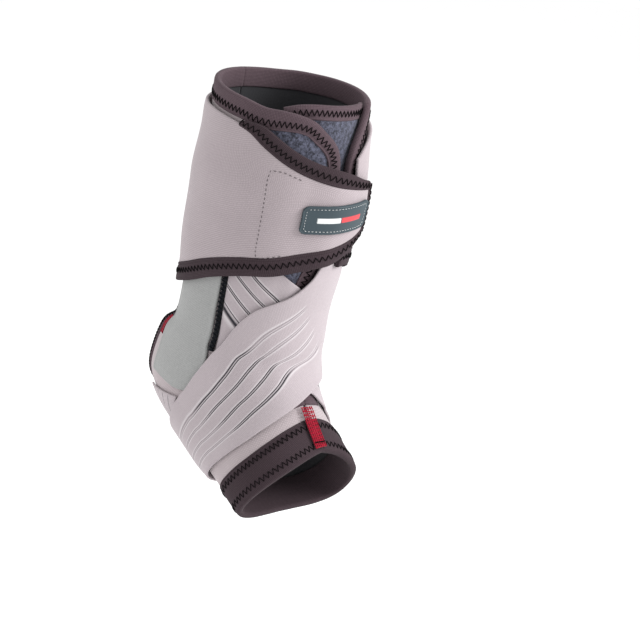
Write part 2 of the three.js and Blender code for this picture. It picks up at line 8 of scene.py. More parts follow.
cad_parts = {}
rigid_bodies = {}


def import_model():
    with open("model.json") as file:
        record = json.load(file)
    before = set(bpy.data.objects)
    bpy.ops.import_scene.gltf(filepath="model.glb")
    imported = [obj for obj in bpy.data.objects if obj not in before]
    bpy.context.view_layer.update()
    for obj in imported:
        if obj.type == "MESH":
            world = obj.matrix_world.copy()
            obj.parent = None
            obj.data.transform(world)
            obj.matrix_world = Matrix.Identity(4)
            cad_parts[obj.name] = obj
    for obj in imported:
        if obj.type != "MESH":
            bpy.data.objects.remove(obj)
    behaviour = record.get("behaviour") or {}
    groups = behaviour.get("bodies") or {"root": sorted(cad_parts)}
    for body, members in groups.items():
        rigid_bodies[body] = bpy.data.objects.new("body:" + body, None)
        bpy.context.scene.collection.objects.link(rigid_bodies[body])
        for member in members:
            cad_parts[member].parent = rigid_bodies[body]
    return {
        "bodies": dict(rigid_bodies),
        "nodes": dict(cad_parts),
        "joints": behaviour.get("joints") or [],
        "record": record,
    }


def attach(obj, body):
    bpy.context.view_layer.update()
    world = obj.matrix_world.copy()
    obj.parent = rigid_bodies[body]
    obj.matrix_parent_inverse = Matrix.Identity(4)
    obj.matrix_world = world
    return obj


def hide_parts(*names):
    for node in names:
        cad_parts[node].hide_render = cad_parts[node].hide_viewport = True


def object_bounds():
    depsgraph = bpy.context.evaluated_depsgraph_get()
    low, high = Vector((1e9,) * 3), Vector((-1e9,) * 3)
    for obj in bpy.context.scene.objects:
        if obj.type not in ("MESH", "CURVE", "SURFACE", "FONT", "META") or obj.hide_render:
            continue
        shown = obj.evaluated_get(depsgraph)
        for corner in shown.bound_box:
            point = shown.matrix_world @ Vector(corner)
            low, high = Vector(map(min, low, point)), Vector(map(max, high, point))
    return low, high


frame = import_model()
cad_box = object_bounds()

bl_info = {
    "name": "Ankle brace",
    "version": (1, 0, 0),
    "blender": (4, 5, 0),
    "location": "View3D > Sidebar > Brace",
    "description": "Makes the cloth, straps, bands and stitches of a worn ankle brace",
    "category": "Object",
}

MM = 0.001
BODY = "root"
SEED = 7

# Driving sizes of the worn form, in millimetres, as in the part's source
LEG_HEIGHT = 158.0
CALF_DEPTH = 92.0
CALF_WIDTH = 86.0
FOOT_REACH = 98.0
HEEL_DROP = 74.0
FOOT_WIDTH = 80.0
TOE_DOWN = math.radians(24.0)

BODY_WALL = 2.4
STRAP_WALL = 1.5
CUFF_WALL = 2.0
POCKET_WALL = 2.0
POCKET_CROWN = 0.6
POCKET_WELT = 0.35
TONGUE_WALL = 1.8
TAPE_WALL = 1.0
LABEL_WALL = 1.6
AIR = 0.5

RIM_BAND = 11.0
FLAP_BAND = 8.0
HEEL_BAND = 5.0
FOOT_BAND = 21.0
CUFF_TOP_BAND = 8.0
CUFF_TIP_BAND = 3.5
CUFF_LOW_BAND = 10.0
TONGUE_BAND = 7.5

STRAP_LEVEL = BODY_WALL + AIR
OVER_STRAP = 3.0
TONGUE_LEVEL = -4.0
CUFF_TOP_LEVEL = 4.6
CUFF_LOW_LEVEL = 7.1
CUFF_TURN_LEVEL = 3.3
TAPE_RISE = 1.6
TAPE_RISES_FROM, TAPE_RISES_IN = 7, 0.6
# A strap rises over the front bands: so many degrees from the front and down to this row, each with its slope
FRONT_RISE = 1.4
FRONT_WITHIN, FRONT_SLOPE = 21, 12
FRONT_ROW, FRONT_ROW_SLOPE = 7.5, 0.5

# The worn form. Leg rows: up, front, back, width, belly, square. Lengths are shares of the driving sizes.
LEG_ROWS = (
    (1.00, 0.57, -0.42, 0.97, 0.05, 2.1),
    (0.66, 0.57, -0.44, 0.98, 0.05, 2.1),
    (0.38, 0.52, -0.45, 0.94, 0.05, 2.1),
    (0.18, 0.46, -0.46, 0.87, 0.05, 2.1),
)
# Foot rows: top along, top up, sole along, sole up, width, belly, square
FOOT_ROWS = (
    (0.37, 0.29, -0.47, -0.23, 0.92, 0.0, 2.1),
    (0.42, 0.13, -0.58, -0.49, 0.92, -0.1, 2.1),
    (0.51, 0.01, -0.50, -0.90, 0.90, -0.05, 2.2),
    (0.62, -0.08, -0.255, -1.03, 0.88, 0.1, 2.3),
    (0.74, -0.16, 0.12, -1.02, 0.92, 0.2, 2.3),
    (0.85, -0.22, 0.51, -1.01, 0.98, 0.25, 2.3),
    (0.97, -0.28, 0.86, -1.00, 1.02, 0.3, 2.3),
    (1.10, -0.34, 1.05, -0.98, 1.03, 0.3, 2.3),
)

# Places are (degrees round a section, row counted from the rim). SEAM is where the two halves meet at the
# back. It, the ends of the two fronts, the starts of the toe edges and the first row of STRAP_UNDER differ
# from the part's source, so that edges which are sewn together meet.
SEAM = 180.1
LATERAL_RIM = (
    (6.5, 0.51), (11.5, 0.43), (18.5, 0.35), (27, 0.26), (38, 0.21), (50, 0.19), (65, 0.19), (81, 0.15),
    (97, 0.12), (114, 0.09), (130, 0.06), (146, 0.03), (163, 0.01), (SEAM, 0),
)
LATERAL_FRONT = (
    (6.5, 0.51), (3.2, 0.62), (1.7, 0.76), (1, 0.95), (0.4, 1.25), (0.2, 1.6), (1.5, 2), (6, 2.5),
    (7.5, 3.2), (5.5, 4), (3, 5), (1.8, 6), (1.2, 6.9), (-0.3, 7.8), (-0.2, 8.7), (0.1, 9.66),
)
LATERAL_BACK = (
    (SEAM, 0), (SEAM, 0.6), (SEAM, 1.2), (SEAM, 1.8), (SEAM, 2.4), (176, 2.9), (158, 3.4), (141, 3.9),
    (138.5, 4.6), (140, 5.3), (146, 5.95), (161, 6.55), (177, 7), (SEAM, 7.8), (SEAM, 8.9), (SEAM, 10.1),
)
LATERAL_TOE = (
    (0.1, 9.66), (15, 9.86), (30, 10.02), (46, 10.1), (62, 10.13), (78, 10.12), (95, 10.11), (112, 10.11),
    (129, 10.13), (146, 10.14), (163, 10.12), (SEAM, 10.1),
)
MEDIAL_RIM = (
    (-36, 0.08), (-50, 0.05), (-66, 0.02), (-82, 0), (-98, -0.01), (-114, -0.01), (-130, -0.01),
    (-146, 0), (-163, 0), (-SEAM, 0),
)
MEDIAL_FRONT = (
    (-36, 0.08), (-21, 0.33), (-12, 0.57), (-9.2, 0.82), (-9, 1.2), (-8, 1.6), (-4.5, 2), (0, 2.5),
    (1.5, 3.2), (0, 4), (-2, 5), (-1.8, 6), (-1.2, 6.9), (0.3, 7.8), (0.2, 8.7), (-0.1, 9.66),
)
MEDIAL_BACK = tuple((-around, along) for around, along in LATERAL_BACK)
MEDIAL_TOE = (
    (-0.1, 9.66), (-13, 9.84), (-27, 10.06), (-42, 10.2), (-58, 10.3), (-75, 10.32), (-92, 10.3),
    (-110, 10.25), (-128, 10.2), (-146, 10.16), (-163, 10.12), (-SEAM, 10.1),
)
TONGUE_TOP = (
    (50, 0.28), (38, 0.23), (24, 0.21), (8, 0.21), (-8, 0.21), (-24, 0.21), (-40, 0.22),
)
TONGUE_LOW = ((16, 6.1), (11, 6.15), (5, 6.2), (0, 6.2), (-5, 6.2), (-11, 6.15), (-16, 6.1))
TONGUE_START = (TONGUE_TOP[0], (38, 2.2), (24, 4.4), TONGUE_LOW[0])
TONGUE_END = (TONGUE_TOP[-1], (-36, 2.2), (-24, 4.4), TONGUE_LOW[-1])
POCKET_TOP = ((79, 1.28), (94, 1.25), (110, 1.22), (126, 1.2))
POCKET_LOW = ((88, 6.6), (100, 6.5), (112, 6.25), (124, 6.05))
POCKET_FRONT = (
    (79, 1.28), (78, 1.8), (76, 2.6), (77.2, 3.5), (78, 4.5), (77.5, 5.5), (88, 6.6),
)
POCKET_BACK = (
    (126, 1.2), (128, 1.8), (130, 2.6), (130, 3.2), (128.3, 3.7), (124.3, 4.4), (121.5, 5.4), (124, 6.05),
)
TAPE_FRONT = ((72, 1.6), (71.2, 2.6), (71.5, 3.6), (72.5, 4.9))
TAPE_BACK = ((76.6, 1.6), (74.7, 2.6), (75.8, 3.6), (77.2, 4.9))
# Straps: the rear or heel edge, then the toe edge, a row for each section
STRAP_OVER = (
    ((-24, 1.4), (-71, 3.6)), ((-1.5, 1.98), (-55, 4.7)), ((20, 2.6), (-37, 5.75)), ((46, 3.12), (-8, 6.6)),
    ((61.5, 3.84), (11, 7.3)), ((70.5, 4.83), (33, 7.95)), ((82, 5.85), (58, 8.5)), ((96, 6.95), (93, 8.86)),
    ((120, 7.6), (128, 9)), ((150, 7.9), (155, 9.05)), ((180, 8.02), (180, 9.05)), ((204, 7.85), (207, 8.95)),
    ((219, 7.3), (238, 8.4)), ((219, 6.5), (261, 7)),
)
STRAP_UNDER = (
    ((70.4, 1.5), (71.2, 5.1)), ((43.5, 2.04), (58, 5.75)), ((27, 2.28), (37, 6.2)), ((11, 2.52), (14, 6.5)),
    ((-13, 2.95), (-6, 6.75)), ((-36, 3.5), (-18, 7.4)), ((-60, 4.3), (-37, 8.1)), ((-79, 5.4), (-62, 8.65)),
    ((-95, 6.8), (-95, 8.95)), ((-118, 7.5), (-128, 9)), ((-150, 7.9), (-155, 9.05)),
    ((-180, 8.02), (-180, 9.05)), ((-204, 7.85), (-207, 8.95)), ((-221, 7.3), (-240, 8.2)),
    ((-223, 6.55), (-262, 6.85)),
)
# The cuff's top and low edges, a row for each section from its start round to its tip
CUFF = (
    ((-12, 0.62), (-12, 1.8)), ((-30, 0.42), (-30, 1.82)), ((-52, 0.3), (-54, 2)), ((-80, 0.23), (-82, 2.25)),
    ((-110, 0.22), (-112, 2.55)), ((-145, 0.22), (-146, 2.85)), ((-180, 0.23), (-180, 3)),
    ((-214, 0.27), (-214, 2.85)), ((-245, 0.31), (-247, 2.55)), ((-270, 0.36), (-275, 2.22)),
    ((-288, 0.43), (-297, 2.05)), ((-301, 0.56), (-316, 1.97)), ((-318, 0.71), (-330, 1.88)),
    ((-334, 0.81), (-345, 1.78)), ((-352, 0.88), (-360, 1.69)), ((-368, 0.92), (-373, 1.6)),
    ((-384, 0.95), (-386, 1.5)),
)
CUFF_FREE_FROM = -280
CUFF_POINT = 16
CUFF_POINT_SHARE = 0.2
CUFF_RISE = (0.5, 1.15)
CUFF_TURN = (-332, -356)
HEEL_OPENING = (2.6, 7.05, 177.2)
FRONT_BAND_ENDS = 7.25
# The front bands widen by so many millimetres from this row down, and their stitches end there. The angles
# between which they widen towards the rim come next.
LOW_END_FROM, LOW_END_IN = 6.4, 0.4
LOW_END_WIDENS = 4.5
RIM_BAND_FROM, RIM_BAND_IN = 20, 40
LABEL_START = (-332, 1.33)
LABEL_END = (-380, 1.23)
LABEL_HEIGHT = 17.0
LABEL_CORNER = 3.0
PULL_FRONT = ((1.6, 7.35), (2.4, 9.6), 8.0)
PULL_BACK = ((127.8, 4.4), (126.7, 5.2), 3.4)

# Where the four slits of a strap lie across it, a row for each tenth of its length
SLIT_ROWS = (
    (0.12, 0.205, 0.32, 0.44), (0.125, 0.21, 0.33, 0.455), (0.165, 0.275, 0.425, 0.585),
    (0.235, 0.39, 0.56, 0.73), (0.295, 0.46, 0.635, 0.795), (0.36, 0.52, 0.69, 0.83),
    (0.38, 0.545, 0.705, 0.85), (0.32, 0.49, 0.66, 0.83), (0.24, 0.425, 0.615, 0.8),
    (0.21, 0.4, 0.6, 0.79), (0.21, 0.4, 0.6, 0.79),
)
# The shares of a strap's mesh that are moved to those four, and a slit's measures in millimetres: from its
# middle to each of its two dark lines, the width and the depth of a line, and from it to the painted
# highlight
SLITS = (0.21, 0.403, 0.597, 0.79)
SLIT_HALF_GAP = 0.66
SLIT_LINE = 0.3
SLIT_DEPTH = 0.5
SLIT_TO_HIGHLIGHT = 0.62
# The painted highlight between a slit's two lines: how wide it is, and how strong it and the painted
# highlights beside the lines are
SLIT_MIDDLE = 0.4
HIGHLIGHT_BETWEEN, HIGHLIGHT_BESIDE = 0.25, 0.38
# Where a strap's slits gape and get painted shade, darkest there: the share of its length, how that moves
# from one slit to the next, how far it reaches and how strongly
UNDER_DARKEST = ((0.06, 0.0, 0.24, 1.0), (0.42, -0.012, 0.13, 0.85), (0.94, 0.0, 0.1, 0.8))
OVER_DARKEST = ((0.39, -0.014, 0.14, 1.0), (0.94, 0.0, 0.1, 0.8))
# The share of a strap's length from which its slits show, and its length and width for the mesh
UNDER_SLITS_FROM, OVER_SLITS_FROM = -0.01, 0.13
UNDER_LENGTH, OVER_LENGTH, STRAP_WIDTH = 450, 430, 57
# A strap's step and rounded edge along it and across it, and how far from a slit's middle its mesh has lines
STRAP_GRID = ((2.4, 1.0), (3.0, 1.0))
NEAR_A_SLIT = (0.18, 0.38, 0.52, 0.66, 0.8, 0.98, 1.3, 2.3)

# The meshes of the cloths: for across and down, about how long it is, the step and the rounded edge
GRIDS = {
    "body_lateral": ((140, 2.6, 1.4), (262, 2.6, 1.4)),
    "body_medial": ((135, 2.6, 1.4), (262, 2.6, 1.4)),
    "tongue": ((60, 2.4, 1.0), (165, 2.6, 1.0)),
    "stay_pocket_lateral": ((30, 1.3, 1.6), (135, 2.2, 1.6)),
    "stay_pocket_medial": ((30, 1.3, 1.6), (135, 2.2, 1.6)),
    "stay_edge_tape_lateral": ((3.3, 0.6, 0.5), (84, 1.2, 0.5)),
    "cuff_strap": ((430, 2.4, 1.2), (100, 2.4, 1.2)),
}
BAND_STEP = 1.8
# Millimetres of cloth in one unit of its map
UV_UNIT = 10.0
# A thread: its sides, a way that none of them runs in, how much thinner it ends, the points of one zigzag
# stitch, how it arches up and sinks in, and how a running stitch rises at each of its points
THREAD_SIDES = 5
THREAD_UP = (0.31, 0.17, 0.93)
THREAD_THINS = 0.45
ZIGZAG_POINTS = 6
ZIGZAG_ARCH, ZIGZAG_SINKS = 0.32, 0.12
RUNNING_RISE = (-0.1, 0.12, 0.12, -0.1)

# Ripples: the heights of the crossing waves, for the cuff as shares of its ripple, and the longest wave
STRAP_RIPPLE = ((0.12, 0.08), 34)
CUFF_RIPPLE = ((0.6, 0.4, 0.25), 60)
WAVE_SHORTENS = 0.62

# The loop cloth is the part of the outer half before this angle and above this row
LOOP_WITHIN = (64, 3.4)
# Places of the stitched outline on the cuff, and a stitch and the gap after it, in millimetres
PATCH_OUTLINE = (
    (-328, 0.86), (-316, 0.8), (-307.5, 0.8), (-306.5, 0.9), (-307, 1.3), (-307.5, 1.9), (-309, 1.98),
    (-326, 1.86),
)
PATCH_STITCH = (1.5, 1.2)
LABEL_STITCH = (0.9, 0.75)
LABEL_STITCH_INSET = 1.9
LABEL_BARS = {"pale_bar": (0.2, 0.5), "red_bar": (0.52, 0.82)}
BAR_HALF = 0.075
# How high a zigzag lies on a folded band and on a band round an end, above the cloth's face
FOLDED_STITCH_RISE = 1.05
STRIP_STITCH_RISE = 0.66
TAPE_FACE = TAPE_WALL * 0.8
# The pull tapes: their length, and the share of it at the top that is only cords
PULL_TAPES = {"pull_tape_front": (PULL_FRONT, 29.0, 0.3), "pull_tape_back": (PULL_BACK, 15.0, 0.0)}

COVER_MARGIN = 5.0
COVER_REACH = 7.0
# The outer strap is taut: how steeply it may drop, how often it is evened out, and the rows between which
# this begins, below the cuff
TAUT_SLOPE = 0.09
TAUT_ROUNDS = 5
TAUT_FROM = (1.9, 2.3)

# The camera, as the photograph is framed
PICTURE = 640
SENSOR = 36.0
LENS_SHARE = 2.72
CAMERA_AZIMUTH = math.radians(45)
CAMERA_RISE = math.radians(17)
CAMERA_ROLL = math.radians(8.5)
CAMERA_DISTANCE = 1.1
SHIFT_PIXELS = (-70, 9)

# The soft lights: metres to the camera's right, up and back from the origin, the size and the power in watts
LIGHTS = (("key", (1.3, 0.5, 0.5), 0.7, 22), ("rim", (-1.2, 0.3, -0.35), 0.9, 4))
LIT_PLACE = (0, 0, 0.02)
SKY_STRENGTH = 1.03
FLOOR_SIZE = 12
FLOOR_BELOW = 0.25


# The form


def smooth(table, place):
    table = np.asarray(table, float)
    last = len(table) - 1
    held = np.clip(np.asarray(place, float), 0, last)
    base = np.minimum(held.astype(int), last - 1)
    t = (held - base)[..., None]
    longer = np.vstack([2 * table[0] - table[1], table, 2 * table[-1] - table[-2]])
    before, start, stop, after = (longer[base + i] for i in range(4))
    leave = (stop - before) / 2
    arrive = (after - start) / 2
    return (
        (2 * start - 2 * stop + leave + arrive) * t**3
        + (3 * stop - 3 * start - 2 * leave - arrive) * t**2
        + leave * t
        + start
    )


def form_rows():
    rows = []
    for up, front, back, width, belly, square in LEG_ROWS:
        height = up * LEG_HEIGHT
        half = width * CALF_WIDTH / 2
        rows.append((front * CALF_DEPTH, height, back * CALF_DEPTH, height, half, belly, square))
    cos, sin = math.cos(TOE_DOWN), math.sin(TOE_DOWN)
    for top_along, top_up, sole_along, sole_up, width, belly, square in FOOT_ROWS:
        ends = []
        for along, up in ((top_along, top_up), (sole_along, sole_up)):
            x, z = along * FOOT_REACH, up * HEEL_DROP
            ends += [x * cos + z * sin, z * cos - x * sin]
        rows.append((*ends, width * FOOT_WIDTH / 2, belly, square))
    return rows


ROWS = form_rows()


def on_form(places):
    around, along = np.radians(places[..., 0]), places[..., 1]
    front_x, front_z, back_x, back_z, half, belly, square = np.moveaxis(smooth(ROWS, along), -1, 0)

    def power(value):
        return np.sign(value) * np.abs(value) ** (2 / square)

    forward = power(np.cos(around))
    shifted = forward - belly * (1 - forward * forward)
    past = np.minimum(along, 0) * LEG_HEIGHT * (1 - LEG_ROWS[1][0])
    x = (front_x + back_x) / 2 + (front_x - back_x) / 2 * shifted
    z = (front_z + back_z) / 2 + (front_z - back_z) / 2 * shifted - past
    return np.stack([x, -half * power(np.sin(around)), z], -1)


def slopes(places):
    turn = np.array([0.5, 0.0])
    step = np.array([0.0, 0.01])
    round_ = (on_form(places + turn) - on_form(places - turn)) / 1.0
    down = (on_form(places + step) - on_form(places - step)) / 0.02
    out = np.cross(round_, down)
    return round_, down, out / np.linalg.norm(out, axis=-1, keepdims=True)


def lifted(places, lift):
    return on_form(places) + slopes(places)[2] * np.asarray(lift, float)[..., None]


def unit(vectors):
    return vectors / np.linalg.norm(vectors, axis=-1, keepdims=True)


def moved(places, direction, distance):
    """Places moved along the form by a distance in millimetres in a 3-D direction."""
    places = np.array(places, float)
    distance = np.asarray(distance, float)
    steps = max(1, int(math.ceil(np.abs(distance).max() / 4)))
    for _ in range(steps):
        round_, down, _ = slopes(places)
        rr = (round_ * round_).sum(-1)
        rd = (round_ * down).sum(-1)
        dd = (down * down).sum(-1)
        r = (round_ * direction).sum(-1) * distance / steps
        d = (down * direction).sum(-1) * distance / steps
        scale = rr * dd - rd * rd
        places = places + np.stack([(r * dd - d * rd) / scale, (d * rr - r * rd) / scale], -1)
    return places


def ease(x):
    held = np.clip(x, 0, 1)
    return held * held * (3 - 2 * held)


def curve_of(table):
    return lambda share: smooth(table, np.asarray(share, float) * (len(table) - 1))


def mix(a, b, share):
    return a + (b - a) * np.asarray(share)[..., None]


def four_sided(top, low, start, end):
    top_at, low_at, start_at, end_at = (curve_of(table) for table in (top, low, start, end))

    def at(across, down):
        zero = np.zeros_like(across)
        one = np.ones_like(across)
        ruled_down = mix(top_at(across), low_at(across), down)
        ruled_across = mix(start_at(down), end_at(down), across)
        corners = mix(
            mix(top_at(zero), low_at(zero), down), mix(top_at(one), low_at(one), down), across
        )
        return ruled_down + ruled_across - corners

    return at


def ruled(table):
    first_at = curve_of([row[0] for row in table])
    second_at = curve_of([row[1] for row in table])
    return lambda across, down: mix(first_at(across), second_at(across), down)


lateral_at = four_sided(LATERAL_RIM, LATERAL_TOE, LATERAL_FRONT, LATERAL_BACK)
medial_at = four_sided(MEDIAL_RIM, MEDIAL_TOE, MEDIAL_FRONT, MEDIAL_BACK)
tongue_at = four_sided(TONGUE_TOP, TONGUE_LOW, TONGUE_START, TONGUE_END)
pocket_at = four_sided(POCKET_TOP, POCKET_LOW, POCKET_FRONT, POCKET_BACK)


def along_slits(at):
    """The same strap with its lines across moved, so that each slit keeps to its own line."""

    def placed(across, down):
        own = np.moveaxis(curve_of(SLIT_ROWS)(across), -1, 0)
        levels = [np.zeros_like(across), *own, np.ones_like(across)]
        marks = (0.0, *SLITS, 1.0)
        result = np.zeros_like(across)
        for k in range(len(marks) - 1):
            share = (down - marks[k]) / (marks[k + 1] - marks[k])
            inside = (share >= 0) & (share <= 1)
            result = np.where(inside, levels[k] + (levels[k + 1] - levels[k]) * share, result)
        return at(across, result)

    return placed


strap_over_at = along_slits(ruled(STRAP_OVER))
strap_under_at = along_slits(ruled(STRAP_UNDER))
cuff_at = ruled(CUFF)


def pocket_medial_at(across, down):
    return pocket_at(across, down) * np.array([-1.0, 1.0])


def stay_tape_at(across, down):
    return mix(curve_of(TAPE_FRONT)(down), curve_of(TAPE_BACK)(down), across)


# How far one layer has to rise over another


def cover_by(at, across=40, down=8):
    """A function that is 1 over a cloth's place on the form and 0 well away from it."""
    a = np.linspace(0, 1, across + 1)
    d = np.linspace(0, 1, down + 1)
    ring = np.vstack(
        [
            at(a, np.zeros_like(a)),
            at(np.ones_like(d), d)[1:],
            at(a, np.ones_like(a))[::-1][1:],
            at(np.zeros_like(d), d)[::-1][1:-1],
        ]
    )
    spots = on_form(ring)
    ends = np.roll(spots, -1, axis=0)
    other = np.roll(ring, -1, axis=0)

    def inside(around, along):
        odd = np.zeros(around.shape, bool)
        for (around_a, along_a), (around_b, along_b) in zip(ring, other):
            if along_a == along_b:
                continue
            crosses = (along_a > along) != (along_b > along)
            limit = around_a + (around_b - around_a) * (along - along_a) / (along_b - along_a)
            odd ^= crosses & (around < limit)
        return odd

    def cover(places):
        flat = places.reshape(-1, 2)
        hit = np.zeros(len(flat), bool)
        for turn in (-360, 0, 360):
            hit |= inside(flat[:, 0] + turn, flat[:, 1])
        spot = on_form(flat)
        nearest = np.full(len(flat), 1e9)
        for start, stop in zip(spots, ends):
            line = stop - start
            length = max(float(line @ line), 1e-9)
            share = np.clip(((spot - start) @ line) / length, 0, 1)
            nearest = np.minimum(nearest, np.linalg.norm(spot - start - share[:, None] * line, axis=1))
        value = np.where(hit, 1.0, 1 - ease((nearest - COVER_MARGIN) / COVER_REACH))
        return value.reshape(places.shape[:-1])

    return cover


def over_bands(places):
    around, along = places[..., 0], places[..., 1]
    beside = 1 - ease((np.abs(around) - FRONT_WITHIN) / FRONT_SLOPE)
    return FRONT_RISE * beside * (1 - ease((along - FRONT_ROW) / FRONT_ROW_SLOPE))


medial_pocket_cover = cover_by(pocket_medial_at)
over_covers = [cover_by(pocket_at), cover_by(stay_tape_at), cover_by(strap_under_at)]


def under_lift(places):
    return STRAP_LEVEL + over_bands(places) + OVER_STRAP * medial_pocket_cover(places)


def over_lift(places):
    most = np.max([cover(places) for cover in over_covers], axis=0)
    base = STRAP_LEVEL + over_bands(places) + OVER_STRAP * (most + medial_pocket_cover(places))
    if places.ndim < 3:
        return base
    step = np.linalg.norm(np.diff(on_form(places[:, places.shape[1] // 2]), axis=0), axis=-1).mean()
    below_cuff = ease((places[..., 1] - TAUT_FROM[0]) / (TAUT_FROM[1] - TAUT_FROM[0]))
    return base + (taut(base, step) - base) * below_cuff


def cuff_lift(places):
    around, along = places[..., 0], places[..., 1]
    rise = ease((along - CUFF_RISE[0]) / (CUFF_RISE[1] - CUFF_RISE[0]))
    turn = ease((around - CUFF_TURN[0]) / (CUFF_TURN[1] - CUFF_TURN[0]))
    return CUFF_TOP_LEVEL + (CUFF_LOW_LEVEL - CUFF_TOP_LEVEL) * rise + CUFF_TURN_LEVEL * turn


def taut(base, step):
    """Lifts of a stretched strap. It leaves what lies under it at a slant, and doesn't follow each edge."""
    drop = TAUT_SLOPE * step
    held = base.copy()
    for i in range(1, len(held)):
        held[i] = np.maximum(held[i], held[i - 1] - drop)
    for i in range(len(held) - 2, -1, -1):
        held[i] = np.maximum(held[i], held[i + 1] - drop)
    for _ in range(TAUT_ROUNDS):
        held[1:-1] = (held[:-2] + 2 * held[1:-1] + held[2:]) / 4
        held[:, 1:-1] = (held[:, :-2] + 2 * held[:, 1:-1] + held[:, 2:]) / 4
    return held


def level(height):
    return lambda places: np.full(places.shape[:-1], float(height))


def pull_lift(places):
    return STRAP_LEVEL + TAPE_RISE * ease((places[..., 1] - TAPE_RISES_FROM) / TAPE_RISES_IN)


# Meshes


def make_object(name, points, faces, material, slot, uv=None, attributes=None, stands_for=()):
    name = name + "_fine"
    mesh = bpy.data.meshes.new(name)
    mesh.from_pydata((np.asarray(points) * MM).tolist(), [], [tuple(int(i) for i in face) for face in faces])
    mesh.update()
    if uv is not None:
        loops = np.empty(len(mesh.loops), np.int32)
        mesh.loops.foreach_get("vertex_index", loops)
        layer = mesh.uv_layers.new(name="cloth")
        layer.data.foreach_set("uv", np.asarray(uv, np.float32)[loops].ravel())
    for key, values in (attributes or {}).items():
        attribute = mesh.attributes.new(key, "FLOAT", "POINT")
        attribute.data.foreach_set("value", np.asarray(values, np.float32))
    mesh.polygons.foreach_set("use_smooth", np.ones(len(mesh.polygons), bool))
    mesh.materials.append(material)
    piece = bpy.data.objects.new(name, mesh)
    bpy.context.scene.collection.objects.link(piece)
    turn_outwards(piece)
    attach(piece, BODY)
    if stands_for:
        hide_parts(*stands_for)
    return piece


def turn_outwards(piece):
    bpy.ops.object.select_all(action="DESELECT")
    bpy.context.view_layer.objects.active = piece
    piece.select_set(True)
    bpy.ops.object.mode_set(mode="EDIT")
    bpy.ops.mesh.select_all(action="SELECT")
    bpy.ops.mesh.normals_make_consistent(inside=False)
    bpy.ops.object.mode_set(mode="OBJECT")
    piece.select_set(False)


def stops(length, step, edge):
    """Shares of a length: fine at both ends, where the edge turns over, and even between."""
    turned = np.array([0, 0.08, 0.3, 0.65]) * edge
    count = max(2, int(round((length - 2 * edge) / step)))
    middle = np.linspace(edge, length - edge, count + 1)
    return np.concatenate([turned, middle, (length - turned)[::-1]]) / length


def grid_of(at, across, down):
    a, d = np.meshgrid(across, down, indexing="ij")
    return at(a, d), a, d


def lengths(points):
    """Millimetres run along each way of a grid of points, and the whole of each."""
    way_a = np.zeros(points.shape[:2])
    way_d = np.zeros(points.shape[:2])
    way_a[1:] = np.cumsum(np.linalg.norm(np.diff(points, axis=0), axis=-1), axis=0)
    way_d[:, 1:] = np.cumsum(np.linalg.norm(np.diff(points, axis=1), axis=-1), axis=1)
    return way_a, way_d


def name_slot(node):
    for row in frame["record"]["subparts"]:
        if row["node"] == node:
            return row["material_slot"]
    raise RuntimeError("no slot for " + node)


def cloth_piece(name, at, lift, wall, material, relief=None, marks=None, shares=None):
    """A cloth with two faces that meet in a rounded edge. relief and marks get the places, the shares and the
    millimetres along each way, and give the height to add and the named attributes."""
    places, a, d = grid_of(at, *(shares or [stops(*row) for row in GRIDS[name]]))
    base = lift(places)
    points = lifted(places, base + wall / 2)
    way_a, way_d = lengths(points)
    edge = np.minimum(
        np.minimum(way_a, way_a[-1] - way_a), np.minimum(way_d, way_d[:, -1:] - way_d)
    )
    round_edge = np.sqrt(np.maximum(0, 1 - (1 - np.clip(edge / (wall * 0.5), 0, 1)) ** 2))
    facts = {"places": places, "a": a, "d": d, "way_a": way_a, "way_d": way_d, "edge": edge}
    added = relief(facts) if relief else np.zeros_like(base)
    middle = base + wall / 2
    outer = lifted(places, middle + (wall / 2 + added) * round_edge)
    inner = lifted(places, middle - wall / 2 * round_edge)
    size = a.size
    outer_index = np.arange(size).reshape(a.shape)
    inner_index = outer_index.copy()
    own_inner = inner_index[1:-1, 1:-1]
    own_inner[:] = size + np.arange(own_inner.size).reshape(own_inner.shape)
    all_points = np.vstack([outer.reshape(-1, 3), inner[1:-1, 1:-1].reshape(-1, 3)])
    quads = [outer_index[:-1, :-1], outer_index[1:, :-1], outer_index[1:, 1:], outer_index[:-1, 1:]]
    faces = np.stack([q.ravel() for q in quads], 1)
    quads = [inner_index[:-1, 1:], inner_index[1:, 1:], inner_index[1:, :-1], inner_index[:-1, :-1]]
    faces = np.vstack([faces, np.stack([q.ravel() for q in quads], 1)])
    uv = np.stack([way_a, way_d], -1) / UV_UNIT
    all_uv = np.vstack([uv.reshape(-1, 2), uv[1:-1, 1:-1].reshape(-1, 2)])
    named = {"inside": np.concatenate([np.zeros(size), np.ones(own_inner.size)])}
    for key, values in (marks(facts) if marks else {}).items():
        named[key] = np.concatenate([values.ravel(), values[1:-1, 1:-1].ravel()])
    piece = make_object(name, all_points, faces, material, name_slot(name), all_uv, named, (name,))
    cells = np.cross(points[1:, :-1] - points[:-1, :-1], points[:-1, 1:] - points[:-1, :-1])
    area = float(np.linalg.norm(cells, axis=-1).sum())
    keep_flat_size(piece, float(way_d[:, -1].max()), float(way_a[-1].max()), area)
    return piece


def keep_flat_size(piece, width, length, area):
    """The rectangle that a cloth is cut from and its own flat area, kept on the piece."""
    piece["flat_width"] = width * MM
    piece["flat_length"] = length * MM
    piece["flat_area"] = min(area, width * length) * MM * MM


def sweep(sections, closed=False):
    """Points and faces of closed cross-sections joined one after the other."""
    index = np.arange(sections.shape[0] * sections.shape[1]).reshape(sections.shape[:2])
    here = index if closed else index[:-1]
    there = np.roll(index, -1, axis=0)[:len(here)]
    here_next, there_next = np.roll(here, -1, axis=1), np.roll(there, -1, axis=1)
    faces = [tuple(face) for face in np.stack([here, there, there_next, here_next], -1).reshape(-1, 4)]
    if not closed:
        faces.append(tuple(index[0][::-1]))
        faces.append(tuple(index[-1]))
    return sections.reshape(-1, 3), faces


